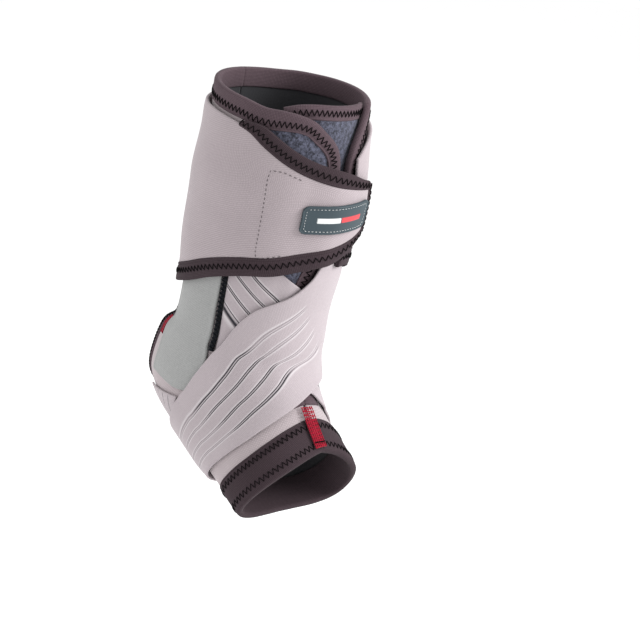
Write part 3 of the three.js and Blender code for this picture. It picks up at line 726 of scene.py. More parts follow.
def even_path(places, step, closed=False):
    """A path on the form cut again into even steps, with the millimetres run."""
    places = np.asarray(places, float)
    if closed:
        places = np.vstack([places, places[:1] + np.array([360.0, 0.0])])
    run = np.concatenate([[0], np.cumsum(np.linalg.norm(np.diff(on_form(places), axis=0), axis=-1))])
    count = max(2, int(round(run[-1] / step)))
    marks = np.linspace(0, run[-1], count + 1)
    even = np.stack([np.interp(marks, run, places[:, i]) for i in range(2)], -1)
    return (even[:-1], marks[:-1]) if closed else (even, marks)


def edge_frames(path, side, closed=False):
    points = on_form(path)
    if closed:
        along = np.roll(points, -1, axis=0) - np.roll(points, 1, axis=0)
    else:
        along = np.gradient(points, axis=0)
    return unit(np.cross(slopes(path)[2], unit(along)) * side)


def smoothed(values, rounds=3):
    for _ in range(rounds):
        values = np.concatenate([values[:1], (values[:-2] + 2 * values[1:-1] + values[2:]) / 4, values[-1:]])
    return values


def band_piece(name, path, side, width, lift, profile, material, closed=False):
    """A sewn band along an edge path. profile gives (inset, height) pairs for a width."""
    path, marks = even_path(path, BAND_STEP, closed)
    frames = edge_frames(path, side, closed)
    widths = width(path) if callable(width) else np.full(len(path), width)
    base = lift(path)
    outline = np.array([profile(w) for w in widths])
    sections = []
    for k in range(outline.shape[1]):
        spots = moved(path, frames, outline[:, k, 0])
        sections.append(lifted(spots, base + outline[:, k, 1]))
    sections = np.stack(sections, 1)
    points, faces = sweep(sections, closed)
    across = np.concatenate([[0], np.cumsum(np.linalg.norm(np.diff(outline[0], axis=0), axis=-1))])
    uv = np.stack(np.broadcast_arrays(marks[:, None], across[None]), -1).reshape(-1, 2) / UV_UNIT
    piece = make_object(name, points, faces, material, name_slot(name), uv, None, (name,))
    run = float(marks[-1])
    area = float(np.linalg.norm(np.diff(sections, axis=1), axis=-1).sum(1).mean() * run / 2)
    keep_flat_size(piece, area / run, run, area)
    return piece


def folded_profile(wall):
    """A band folded over an edge: it grips the cloth between its two lips."""
    return lambda w: (
        (w, wall - 0.1), (w, wall + 0.45), (w - 0.5, wall + 0.85), (w - 1.1, wall + 0.8),
        (w - 1.5, wall + 0.45), (w - 1.9, wall + 0.85), (w * 0.6, wall + 0.95), (w * 0.3, wall + 1.0),
        (0.6, wall + 1.0), (-0.4, wall + 0.8), (-1.05, wall + 0.15), (-1.3, wall / 2), (-1.05, -0.15),
        (-0.4, -0.8), (0.6, -1.0), (w * 0.5, -1.0), (w - 1.0, -0.9), (w, -0.5), (w, 0.1),
    )


def strip_profile(wall):
    """A band sewn round the end of a cloth, mostly beyond it; insets are negative outwards."""
    return lambda w: (
        (1.1, wall - 0.1), (0.9, wall + 0.35), (0.2, wall + 0.55), (-0.4, wall + 0.45), (-0.8, wall + 0.2),
        (-1.2, wall + 0.5), (-w * 0.4, wall + 0.62), (-w * 0.75, wall + 0.6), (-w, wall + 0.45),
        (-w - 0.45, wall + 0.05), (-w - 0.6, wall / 2), (-w - 0.45, -0.05), (-w, -0.45), (-w * 0.5, -0.6),
        (-0.4, -0.5), (0.9, -0.35), (1.1, 0.1),
    )


def thread_mesh(ways, radius):
    """Short threads as one mesh. ways is (threads, points, 3); ends are thinner and sink in."""
    ways = np.asarray(ways)
    count, size, _ = ways.shape
    along = unit(np.gradient(ways, axis=1))
    up = np.broadcast_to(np.array(THREAD_UP), along.shape)
    side = unit(np.cross(along, up))
    other = np.cross(along, side)
    share = np.linspace(-1, 1, size)
    thick = radius * (1 - THREAD_THINS * np.abs(share) ** 4)
    angle = np.linspace(0, 2 * math.pi, THREAD_SIDES, endpoint=False)
    ring = (
        ways[:, :, None]
        + (side[:, :, None] * np.cos(angle)[:, None] + other[:, :, None] * np.sin(angle)[:, None])
        * thick[None, :, None, None]
    )
    index = np.arange(count * size * THREAD_SIDES).reshape(count, size, THREAD_SIDES)
    following = np.roll(index, -1, axis=2)
    faces = np.stack([index[:, :-1], index[:, 1:], following[:, 1:], following[:, :-1]], -1).reshape(-1, 4)
    faces = [tuple(face) for face in faces]
    faces += [tuple(cap[::-1]) for cap in index[:, 0]]
    faces += [tuple(cap) for cap in index[:, -1]]
    return ring.reshape(-1, 3), faces


def zigzag_ways(path, side, inset, reach, pitch, lift, height, closed=False):
    """Zigzag stitches along an edge path: the threads of each stitch, as points."""
    path, _ = even_path(path, pitch / 2, closed)
    frames = edge_frames(path, side, closed)
    inset = inset(path) if callable(inset) else np.full(len(path), float(inset))
    sign = np.where(np.arange(len(path)) % 2, 1.0, -1.0)
    ways = []
    for share in np.linspace(0, 1, ZIGZAG_POINTS):
        here = path[:-1] + (path[1:] - path[:-1]) * share
        frame = unit(frames[:-1] + (frames[1:] - frames[:-1]) * share)
        start = inset[:-1] + sign[:-1] * reach
        stop = inset[1:] + sign[1:] * reach
        spots = moved(here, frame, start + (stop - start) * share)
        arch = ZIGZAG_ARCH * math.sin(math.pi * share) ** 0.5 - ZIGZAG_SINKS
        ways.append(lifted(spots, lift(here) + height + arch))
    return np.stack(ways, 1)


def running_ways(path, lift, height, stitch, gap):
    """A row of straight stitches along a path on the form."""
    fine, marks = even_path(path, 0.5)
    count = max(1, int(marks[-1] // (stitch + gap)))
    ways = []
    for i in range(count):
        start = i * (stitch + gap)
        at = np.linspace(start, start + stitch, len(RUNNING_RISE))
        spots = np.stack([np.interp(at, marks, fine[:, k]) for k in range(2)], -1)
        ways.append(lifted(spots, lift(spots) + height + np.array(RUNNING_RISE)))
    return np.array(ways)


def thread_piece(name, way_lists, radius, material, slot):
    points, faces = [], []
    for ways in way_lists:
        p, f = thread_mesh(ways, radius)
        shift = sum(len(q) for q in points)
        points.append(p)
        faces += [tuple(i + shift for i in face) for face in f]
    return make_object(name, np.vstack(points), faces, material, slot)


# Materials

# A wave texture shows one band for each 2 pi of its scaled coordinate, and 20 waves for a scale of one
BANDS_IN_A_UNIT = 20 / (2 * math.pi)
GRAIN_RANGE = ((0.05, 0.05, 0.05), (1, 1, 1))
CLOUD_RANGE = ((0.2, 0.2, 0.2), (0.9, 0.9, 0.9))
NAP_SHARES = (0.3, 1.75)
THREAD_SHARES = (0.7, 1.4)
CLOTH_FUZZ_BUMP = 0.6
# About how many grains of each kind there are along a metre
FUZZ, CLOUD, NAP, TWIST, PEBBLE, RUBBER_CLOUD = 900, 45, 420, 1500, 1400, 60
# Near-black of the straps' slits: their own dark lines, with painted shade added where they gape
SLIT_SHADE = (0.02, 0.02, 0.026)
# Painted highlight beside and between the slits' lines
SLIT_HIGHLIGHT = (0.8, 0.78, 0.79)
# Near-black painted shade for the inner faces of the body and of the tongue
BODY_INSIDE_SHADE = (0.02, 0.02, 0.023)
TONGUE_INSIDE_SHADE = (0.03, 0.03, 0.035)
PALE_BAR = (0.72, 0.74, 0.74)
RED_BAR = (0.6, 0.06, 0.07)


def deep(colour, share):
    return tuple(c * share for c in colour)


class Finish:
    """A material in the making. Each method adds a node and gives what comes out of it."""

    def __init__(self, name):
        self.material = bpy.data.materials.new(name)
        self.material.use_nodes = True
        self.nodes, self.links = self.material.node_tree.nodes, self.material.node_tree.links
        self.nodes.clear()
        output = self.nodes.new("ShaderNodeOutputMaterial")
        self.shader = self.nodes.new("ShaderNodeBsdfPrincipled")
        self.links.new(self.shader.outputs["BSDF"], output.inputs["Surface"])

    def put(self, socket, value):
        if hasattr(value, "links"):
            self.links.new(value, socket)
        elif socket.type == "RGBA":
            socket.default_value = (*value, 1.0)
        else:
            socket.default_value = value

    def surface(self, **values):
        """Sets the shader's own sockets, with _ for a space in a name."""
        for key, value in values.items():
            self.put(self.shader.inputs[key.replace("_", " ")], value)

    def add(self, kind, values):
        node = self.nodes.new("ShaderNode" + kind)
        for key, value in values.items():
            self.put(node.inputs[key], value)
        return node

    def mix(self, factor, first, second, blend="MIX"):
        node = self.nodes.new("ShaderNodeMix")
        node.data_type = "RGBA"
        node.blend_type = blend
        for key, value in ((0, factor), (6, first), (7, second)):
            self.put(node.inputs[key], value)
        return node.outputs[2]

    def calculate(self, operation, first, second):
        node = self.add("Math", {0: first, 1: second})
        node.operation = operation
        return node.outputs[0]

    def noise(self, vector, scale, detail=3.0, rough=0.5):
        values = {"Vector": vector, "Scale": scale, "Detail": detail, "Roughness": rough}
        return self.add("TexNoise", values).outputs["Fac"]

    def wave(self, vector, scale, direction, angle):
        turned = self.add("Mapping", {"Vector": vector, "Rotation": (0, 0, math.radians(angle))})
        values = {"Vector": turned.outputs["Vector"], "Scale": scale, "Distortion": 0.4, "Detail": 1.0}
        node = self.add("TexWave", {**values, "Detail Scale": 2.0})
        node.bands_direction = direction
        return node.outputs["Fac"]

    def ramp(self, value, low, high):
        return self.add("MapRange", {"Value": value, "From Min": low, "From Max": high}).outputs["Result"]

    def attribute(self, name):
        node = self.nodes.new("ShaderNodeAttribute")
        node.attribute_name = name
        return node.outputs["Fac"]

    def place(self):
        return self.nodes.new("ShaderNodeTexCoord").outputs["Object"]

    def bump(self, height, strength, distance):
        node = self.add("Bump", {"Height": height, "Strength": strength, "Distance": distance * MM})
        self.links.new(node.outputs["Normal"], self.shader.inputs["Normal"])


def cloth_finish(name, colour, thread, pitch, angle=0.0, grain=0.08, mottled=0.1, sheen=0.2, depth=0.12,
                 inside=None, marks=(), knit=False, shine=0.25, nap=None):
    """Woven or knitted cloth. pitch is the millimetres from one thread to the next, and nap is the share of
    brushed pile, or the attribute that gives it."""
    made = Finish(name)
    uv = made.nodes.new("ShaderNodeUVMap")
    uv.uv_map = "cloth"
    place = made.place()
    scale = UV_UNIT / pitch / BANDS_IN_A_UNIT
    warp = made.wave(uv.outputs["UV"], scale, "X", angle)
    weft = made.wave(uv.outputs["UV"], scale * (0.6 if knit else 1.0), "Y", angle)
    weave = made.calculate("MULTIPLY", warp, weft)
    fuzz = made.noise(place, FUZZ, 2.0, 0.6)
    tint = made.mix(made.ramp(weave, 0.1, 0.75), thread, colour)
    tint = made.mix(grain, tint, made.mix(fuzz, *GRAIN_RANGE), "OVERLAY")
    tint = made.mix(mottled, tint, made.mix(made.noise(place, CLOUD, 4.0, 0.6), *CLOUD_RANGE), "OVERLAY")
    if nap:
        pile = made.ramp(made.noise(place, NAP, 3.0, 0.8), 0.38, 0.64)
        dark_pile, pale_pile = (deep(settings()[1].loop, share) for share in NAP_SHARES)
        share = made.attribute(nap) if isinstance(nap, str) else nap
        tint = made.mix(share, tint, made.mix(pile, dark_pile, pale_pile))
    # Named marks, such as the straps' painted slit shade and painted highlight
    for key, marked in marks:
        tint = made.mix(made.attribute(key), tint, marked)
    # Painted shade: the inner faces get a near-black colour
    if inside:
        tint = made.mix(made.attribute("inside"), tint, inside)
    made.surface(Base_Color=tint, Roughness=0.92, Specular_IOR_Level=shine, Sheen_Weight=sheen,
                 Sheen_Roughness=0.5)
    made.bump(made.calculate("ADD", weave, made.calculate("MULTIPLY", fuzz, CLOTH_FUZZ_BUMP)), 0.55, depth)
    return made.material


def thread_finish(name, colour):
    made = Finish(name)
    twist = made.noise(made.place(), TWIST, 1.0)
    dark, pale = (deep(colour, share) for share in THREAD_SHARES)
    tint = made.mix(twist, dark, tuple(min(1, c) for c in pale))
    made.surface(Base_Color=tint, Roughness=0.8, Specular_IOR_Level=0.08)
    made.bump(twist, 0.3, 0.1)
    return made.material


def rubber_finish(name, colour):
    """Moulded rubber with a fine pebble grain, and a plain two-tone bar."""
    made = Finish(name)
    place = made.place()
    grain = made.noise(place, PEBBLE, 2.0)
    tint = made.mix(made.ramp(made.noise(place, RUBBER_CLOUD, 3.0), 0.3, 0.7), deep(colour, 0.9), colour)
    for key, bar in (("pale_bar", PALE_BAR), ("red_bar", RED_BAR)):
        tint = made.mix(made.attribute(key), tint, bar)
    made.surface(Base_Color=tint, Roughness=0.5, Specular_IOR_Level=0.22)
    made.bump(grain, 0.25, 0.15)
    return made.material


# Each cloth's colour, the share of it that is used, how dark the gaps between its threads are as a share of
# that, its pitch as a share of the weave's, and what else is its own
CLOTH_FINISHES = {
    "cuff twill": ("cuff", 1, 0.74, 1, {"angle": 32}),
    # The strap's marks paint shade into its gaping slits and a highlight beside them
    "strap elastic": (
        "strap", 1, 0.82, 0.9,
        {"grain": 0.1, "mottled": 0.05, "marks": (("slit", SLIT_SHADE), ("glint", SLIT_HIGHLIGHT))},
    ),
    # Near-black painted shade on the body's inner faces
    "body knit": ("body", 1, 0.8, 1, {"inside": BODY_INSIDE_SHADE, "nap": "loop", "knit": True}),
    # Near-black painted shade on the tongue's inner faces
    "loop cloth": (
        "loop", 1, 0.45, 0.9,
        {"angle": 20, "grain": 0.55, "mottled": 0.3, "sheen": 0.12, "depth": 0.4, "inside": TONGUE_INSIDE_SHADE,
         "nap": 0.75},
    ),
    "taupe band": (
        "binding", 1, 0.55, 0.8,
        {"grain": 0.2, "mottled": 0.15, "sheen": 0.03, "depth": 0.18, "shine": 0.12},
    ),
    "dark band": (
        "binding", 0.5, 0.55, 0.8,
        {"grain": 0.2, "mottled": 0.15, "sheen": 0.02, "depth": 0.18, "shine": 0.1},
    ),
    "stay knit": ("stay", 1, 0.86, 0.75, {"grain": 0.2, "mottled": 0.06, "knit": True}),
    "navy tape": ("navy", 1, 0.4, 1, {"grain": 0.1}),
    "crimson tape": ("crimson", 1, 0.35, 1.2, {"grain": 0.15, "depth": 0.25}),
}
THREAD_COLOURS = {
    "dark thread": "stitch", "pale thread": "pale", "crimson thread": "crimson", "navy thread": "navy",
}


def finish(name):
    """One of the brace's finishes, made when it is first asked for."""
    if name in bpy.data.materials:
        return bpy.data.materials[name]
    sizes, colours = settings()
    if name in CLOTH_FINISHES:
        key, share, gap_share, pitch_share, others = CLOTH_FINISHES[name]
        colour = deep(getattr(colours, key), share)
        return cloth_finish(name, colour, deep(colour, gap_share), pitch_share * sizes.weave / MM, **others)
    if name in THREAD_COLOURS:
        return thread_finish(name, tuple(getattr(colours, THREAD_COLOURS[name])))
    if name == "patch rubber":
        return rubber_finish(name, tuple(colours.rubber))
    raise RuntimeError("no finish is called " + name)


# Sizes and colours that a user would change


def colour_property(name, description, default):
    return bpy.props.FloatVectorProperty(
        name=name, description=description, default=default, size=3, min=0, max=1, subtype="COLOR"
    )


def length_property(name, description, size):
    return bpy.props.FloatProperty(name=name, description=description, default=size * MM, unit="LENGTH")


class BraceSizes(bpy.types.PropertyGroup):
    """Sizes of the stitches and the cloth."""

    zigzag_pitch: length_property("Zigzag pitch", "Length of one whole zigzag", 3.2)
    zigzag_reach: length_property("Zigzag reach", "Half of the width of a zigzag", 2.0)
    thread: length_property("Thread radius", "Radius of the sewing thread", 0.31)
    weave: length_property("Weave pitch", "From one thread of the cloth to the next", 1.1)
    fold: length_property("Ripple", "Height of the soft ripples of the cuff", 0.55)


class BraceColours(bpy.types.PropertyGroup):
    """Colours of the cloths, bands and threads."""

    cuff: colour_property("Cuff", "Pinkish grey cloth of the cuff", (0.405, 0.347, 0.366))
    strap: colour_property("Straps", "Pinkish grey elastic", (0.425, 0.372, 0.392))
    body: colour_property("Body", "Knitted cloth of the foot and the heel", (0.425, 0.366, 0.38))
    loop: colour_property("Loop cloth", "Slate-blue brushed cloth", (0.067, 0.07, 0.1))
    binding: colour_property("Bands", "Taupe edge bands", (0.12, 0.083, 0.097))
    stay: colour_property("Stay pockets", "Sage-grey fine knit", (0.3, 0.303, 0.3))
    navy: colour_property("Stay edge", "Navy tape in front of the stay", (0.006, 0.007, 0.01))
    crimson: colour_property("Pull tapes", "Crimson woven tape", (0.3, 0.011, 0.028))
    rubber: colour_property("Patch", "Moulded rubber patch", (0.043, 0.062, 0.073))
    stitch: colour_property("Stitches", "Dark sewing thread", (0.003, 0.002, 0.0025))
    pale: colour_property("Pale stitches", "Pale sewing thread", (0.75, 0.76, 0.76))
    floor: colour_property("Floor", "Plain pale floor", (0.97, 0.97, 0.97))


def settings():
    scene = bpy.context.scene
    return scene.brace_sizes, scene.brace_colours


# Pieces


def ripple(points, heights, length):
    """Soft ripples: a few crossing waves with fixed phases, in millimetres."""
    total = np.zeros(points.shape[:-1])
    generator = np.random.default_rng(SEED)
    for height in heights:
        way = generator.normal(size=3)
        way /= np.linalg.norm(way)
        total += height * np.sin(points @ way * (2 * math.pi / length) + generator.uniform(0, 6.28))
        length *= WAVE_SHORTENS
    return total


def loop_marks(facts):
    around, along = facts["places"][..., 0], facts["places"][..., 1]
    return {"loop": ((around < LOOP_WITHIN[0]) & (along < LOOP_WITHIN[1])).astype(float)}


def no_loop(facts):
    return {"loop": np.zeros_like(facts["a"])}


class BRACE_OT_body(bpy.types.Operator):
    """Make the two halves of the wrap body"""

    bl_idname = "brace.body"
    bl_label = "Body halves"

    def execute(self, context):
        knit = finish("body knit")
        cloth_piece("body_lateral", lateral_at, level(0), BODY_WALL, knit, marks=loop_marks)
        cloth_piece("body_medial", medial_at, level(0), BODY_WALL, knit, marks=no_loop)
        return {"FINISHED"}


class BRACE_OT_tongue(bpy.types.Operator):
    """Make the tongue under the flaps, with its edge band"""

    bl_idname = "brace.tongue"
    bl_label = "Tongue"

    def execute(self, context):
        cloth_piece("tongue", tongue_at, level(TONGUE_LEVEL), TONGUE_WALL, finish("loop cloth"))
        share = np.linspace(0, 1, 60)
        path = tongue_at(share, np.zeros_like(share))
        band_piece(
            "tongue_binding", path, -1, TONGUE_BAND, level(TONGUE_LEVEL), strip_profile(TONGUE_WALL),
            finish("taupe band"),
        )
        return {"FINISHED"}


def front_path(at):
    share = np.linspace(0, 1, 160)
    top = at(share[::-1], np.zeros_like(share))
    start = at(np.zeros_like(share), share)[1:]
    return np.vstack([top, start[start[:, 1] < FRONT_BAND_ENDS]])


def front_width(path):
    low_end = LOW_END_WIDENS * ease((path[:, 1] - LOW_END_FROM) / LOW_END_IN)
    towards_rim = ease((np.abs(path[:, 0]) - RIM_BAND_FROM) / RIM_BAND_IN)
    return FLAP_BAND + (RIM_BAND - FLAP_BAND) * towards_rim + low_end


def heel_path(at):
    share = np.linspace(0, 1, 300)
    path = at(np.ones_like(share), share)
    low, high, widest = HEEL_OPENING
    return path[(path[:, 1] > low) & (path[:, 1] < high) & (np.abs(path[:, 0]) < widest)]


def foot_path():
    share = np.linspace(0, 1, 120)
    outer = lateral_at(share, np.ones_like(share))
    inner = medial_at(share[::-1], np.ones_like(share)) + np.array([360.0, 0.0])
    return np.vstack([outer, inner])


class BRACE_OT_bands(bpy.types.Operator):
    """Make the taupe bands of the rim, the flaps, the heel opening and the foot"""

    bl_idname = "brace.bands"
    bl_label = "Edge bands"

    def execute(self, context):
        taupe, fold = finish("taupe band"), folded_profile(BODY_WALL)
        for half, at, side in (("lateral", lateral_at, 1), ("medial", medial_at, -1)):
            band_piece("flap_binding_" + half, front_path(at), -side, front_width, level(0), fold, taupe)
            band_piece("heel_binding_" + half, heel_path(at), side, HEEL_BAND, level(0), fold, taupe)
        band_piece("foot_band", foot_path(), -1, FOOT_BAND, level(0), fold, finish("dark band"), closed=True)
        return {"FINISHED"}


def pocket_relief(facts):
    share = np.minimum(facts["a"], 1 - facts["a"]) * 2
    crown = POCKET_CROWN * np.sin(np.clip(share, 0, 1) * math.pi / 2)
    welt = POCKET_WELT * np.exp(-(((facts["edge"] - 1.0) / 0.5) ** 2))
    return crown * ease(facts["edge"] / 8) + welt


class BRACE_OT_stays(bpy.types.Operator):
    """Make the stay pockets at both sides and the navy tape in front of the outer one"""

    bl_idname = "brace.stays"
    bl_label = "Stay pockets"

    def execute(self, context):
        for name, at in (("stay_pocket_lateral", pocket_at), ("stay_pocket_medial", pocket_medial_at)):
            cloth_piece(name, at, level(STRAP_LEVEL), POCKET_WALL, finish("stay knit"), pocket_relief)
        cloth_piece(
            "stay_edge_tape_lateral", stay_tape_at, level(STRAP_LEVEL), POCKET_WALL, finish("navy tape")
        )
        share = np.linspace(0, 1, 120)
        edge = stay_tape_at(np.full_like(share, 0.12), share)
        teeth = zigzag_ways(edge, 1, -0.9, 1.8, 3.0, level(STRAP_LEVEL), POCKET_WALL + 0.15)
        thread_piece("stay_edge_teeth", [teeth], 0.45, finish("navy thread"), "navy_tape")
        return {"FINISHED"}


def strap_shares():
    """Shares across a strap, close together at the lines of its slits."""
    width = STRAP_WIDTH
    half = np.array(NEAR_A_SLIT)
    near = np.concatenate([-half[::-1], half])
    own = [slit + near / width for slit in SLITS]
    apart = 4 / width
    between = [np.linspace(a + apart, b - apart, 4) for a, b in zip(SLITS[:-1], SLITS[1:])]
    ends = stops(width, *STRAP_GRID[1])
    outside = ends[(ends < SLITS[0] - 3.5 / width) | (ends > SLITS[-1] + 3.5 / width)]
    return np.unique(np.concatenate([*own, *between, outside]))


def slit_facts(facts, darkest, start):
    """How strongly each place shows a slit's two lines, the painted highlights beside and between them, and
    the painted shade where the slit gapes.
    """
    share_a, share_d = facts["a"], facts["d"]
    line = np.zeros_like(share_a)
    pale = np.zeros_like(share_a)
    dark = np.zeros_like(share_a)
    for k, slit in enumerate(SLITS):
        off = (share_d - slit) * STRAP_WIDTH
        own = np.exp(-(((np.abs(off) - SLIT_HALF_GAP) / SLIT_LINE) ** 2))
        line = np.maximum(line, own)
        # Painted highlights beside a slit's lines and between them
        beside = np.exp(-(((np.abs(off) - SLIT_HALF_GAP - SLIT_TO_HIGHLIGHT) / SLIT_LINE) ** 2))
        between = np.exp(-((off / SLIT_MIDDLE) ** 2))
        pale = np.maximum(pale, np.maximum(HIGHLIGHT_BESIDE * beside, HIGHLIGHT_BETWEEN * between))
        # Painted shade where the slit gapes
        shade = np.zeros_like(share_a)
        for centre, slope, reach, strength in darkest:
            away = np.abs(share_a - centre - slope * k) / reach
            shade = np.maximum(shade, strength * (1 - ease((away - 0.55) / 0.45)))
        dark = np.maximum(dark, own * shade)
    ends = ease((facts["a"] - start) / 0.015) * ease((1 - facts["a"]) / 0.01)
    return line * ends, pale * ends, dark * ends


def make_strap(name, at, lift, length, darkest, start):
    def relief(facts):
        line, pale, dark = slit_facts(facts, darkest, start)
        soft = ripple(on_form(facts["places"]), *STRAP_RIPPLE)
        sunk = SLIT_DEPTH * line * (0.3 + 0.7 * np.clip(dark * 1.2, 0, 1))
        return soft * ease(facts["edge"] / 5) + 0.12 * pale - sunk

    def marks(facts):
        line, pale, dark = slit_facts(facts, darkest, start)
        # slit: the slits' own dark lines, with painted shade where they gape; glint: painted highlight beside
        # them
        return {
            "slit": np.clip(0.34 * line + dark * 1.2, 0, 0.98),
            "glint": np.clip(pale - line, 0, 1),
        }

    shares = (stops(length, *STRAP_GRID[0]), strap_shares())
    cloth_piece(name, at, lift, STRAP_WALL, finish("strap elastic"), relief, marks, shares)


class BRACE_OT_straps(bpy.types.Operator):
    """Make the two crossing elastic straps with their slits"""

    bl_idname = "brace.straps"
    bl_label = "Crossing straps"

    def execute(self, context):
        make_strap(
            "strap_under", strap_under_at, under_lift, UNDER_LENGTH, UNDER_DARKEST, UNDER_SLITS_FROM
        )
        make_strap("strap_over", strap_over_at, over_lift, OVER_LENGTH, OVER_DARKEST, OVER_SLITS_FROM)
        return {"FINISHED"}


def cuff_ripple(places):
    fold = settings()[0].fold / MM
    return ripple(on_form(places), [fold * share for share in CUFF_RIPPLE[0]], CUFF_RIPPLE[1])


def cuff_face(places):
    """How high the cuff's outer face lies, with its ripples."""
    return cuff_lift(places) + CUFF_WALL + cuff_ripple(places)


def cuff_edge_path():
    share = np.linspace(0, 1, 500)
    low = cuff_at(share, np.ones_like(share))
    tip = cuff_at(np.ones(30), np.linspace(1, 0, 30))[1:-1]
    top = cuff_at(share[::-1], np.zeros_like(share))
    return np.vstack([low, tip, top[top[:, 0] < CUFF_FREE_FROM]])


def cuff_edge_width(path):
    tip_top, tip_low = CUFF[-1][0][1], CUFF[-1][1][1]
    first = CUFF[-3][0][0]
    near_tip = ease((first - path[:, 0]) / (first - CUFF[-1][0][0]))
    point = CUFF_POINT_SHARE + (1 - CUFF_POINT_SHARE) * ease((CUFF_FREE_FROM - path[:, 0]) / CUFF_POINT)
    full = np.where(path[:, 1] > (tip_top + tip_low) / 2, CUFF_LOW_BAND, CUFF_TOP_BAND * point)
    return smoothed(full + (CUFF_TIP_BAND - full) * near_tip, 6)


class BRACE_OT_cuff(bpy.types.Operator):
    """Make the broad cuff, its edge band and the stitched outline of its hook patch"""

    bl_idname = "brace.cuff"
    bl_label = "Cuff"

    def execute(self, context):
        def relief(facts):
            return cuff_ripple(facts["places"]) * ease(facts["edge"] / 6)

        cloth_piece("cuff_strap", cuff_at, cuff_lift, CUFF_WALL, finish("cuff twill"), relief)
        band_piece(
            "cuff_binding", cuff_edge_path(), 1, cuff_edge_width, cuff_lift, strip_profile(CUFF_WALL),
            finish("dark band"),
        )
        ways = running_ways(np.array(PATCH_OUTLINE, float), cuff_face, 0.1, *PATCH_STITCH)
        thread_piece("cuff_patch_stitches", [ways], 0.16, finish("dark thread"), "cuff_cloth")
        return {"FINISHED"}


def between_places(start, stop, share):
    shape = (*share.shape, 2)
    return mix(np.broadcast_to(start, shape), np.broadcast_to(stop, shape), share)


def label_ends():
    start, stop = np.array(LABEL_START, float), np.array(LABEL_END, float)
    return start, stop, float(np.linalg.norm(on_form(start) - on_form(stop)))


def label_at(across, down):
    """The rounded patch: across its length and from its upper to its lower edge."""
    start, stop, length = label_ends()
    place = between_places(start, stop, across)
    from_end = np.minimum(across, 1 - across) * length
    drop = LABEL_CORNER - np.minimum(from_end, LABEL_CORNER)
    half = LABEL_HEIGHT / 2 - LABEL_CORNER + np.sqrt(np.maximum(LABEL_CORNER**2 - drop**2, 0))
    down_way = unit(slopes(place)[1])
    return moved(place, down_way, (down * 2 - 1) * half)


def label_shares():
    length = label_ends()[2]
    corner = LABEL_CORNER / length
    turn = (1 - np.cos(np.linspace(0, math.pi / 2, 9))) * corner
    return np.concatenate([turn, np.linspace(corner, 1 - corner, 60)[1:-1], 1 - turn[::-1]]), length


class BRACE_OT_label(bpy.types.Operator):
    """Make the rubber patch, bare but for a plain two-tone bar, with its stitches"""

    bl_idname = "brace.label"
    bl_label = "Patch"

    def execute(self, context):
        across, length = label_shares()

        def marks(facts):
            beside = np.abs(facts["d"] - 0.5) < BAR_HALF
            return {
                key: ((facts["a"] > low) & (facts["a"] < high) & beside).astype(float)
                for key, (low, high) in LABEL_BARS.items()
            }

        def relief(facts):
            rim = 0.55 * (1 - ease((facts["edge"] - 0.9) / 0.4))
            groove = -0.12 * np.exp(-(((facts["edge"] - 1.9) / 0.4) ** 2))
            return rim + groove + 0.3 * np.maximum(*marks(facts).values())

        def lift(places):
            return cuff_face(places) + 0.15

        shares = (across, stops(LABEL_HEIGHT, 0.6, 0.8))
        cloth_piece("label_patch", label_at, lift, LABEL_WALL, finish("patch rubber"), relief, marks, shares)
        inset = LABEL_STITCH_INSET / LABEL_HEIGHT
        end = LABEL_STITCH_INSET / length
        long_way = np.linspace(end * 1.6, 1 - end * 1.6, 80)
        short_way = np.linspace(inset * 1.6, 1 - inset * 1.6, 30)
        path = np.vstack(
            [
                label_at(long_way, np.full_like(long_way, inset)),
                label_at(np.full_like(short_way, 1 - end), short_way),
                label_at(long_way[::-1], np.full_like(long_way, 1 - inset)),
                label_at(np.full_like(short_way, end), short_way[::-1]),
                label_at(long_way[:1], np.array([inset])),
            ]
        )
        ways = running_ways(path, lift, LABEL_WALL + 0.02, *LABEL_STITCH)
        thread_piece("label_stitches", [ways], 0.14, finish("pale thread"), "patch_rubber")
        return {"FINISHED"}


def pull_at(tape, first=0.0):
    """A pull tape, from this share of its length on."""
    top, low, width = tape

    def at(across, down):
        place = between_places(np.array(top, float), np.array(low, float), first + (1 - first) * down)
        sideways = unit(slopes(place)[0])
        return moved(place, sideways, (across - 0.5) * width)

    return at


def lattice_ways(at, width, length, lift, height):
    """Threads of an open tape: warp cords with a zigzag weft laid through them."""
    ways = []
    count = int(width / 1.15)
    shares = np.linspace(0.06, 0.94, count)
    rows = int(length / 1.3)
    row = np.linspace(0, 1, rows + 1)
    for share in shares:
        for i in range(rows):
            d = np.linspace(row[i], row[i + 1], 5)
            spots = at(np.full_like(d, share), d)
            wave_up = 0.22 * np.sin((d - row[i]) / (row[1] - row[0]) * math.pi)
            ways.append(lifted(spots, lift(spots) + height + wave_up))
    for i in range(rows):
        d = np.linspace(row[i], row[i + 1], 5)
        a = np.linspace(0.0, 1.0, 5) if i % 2 else np.linspace(1.0, 0.0, 5)
        spots = at(a, d)
        ways.append(lifted(spots, lift(spots) + height - 0.05))
    return np.array(ways)


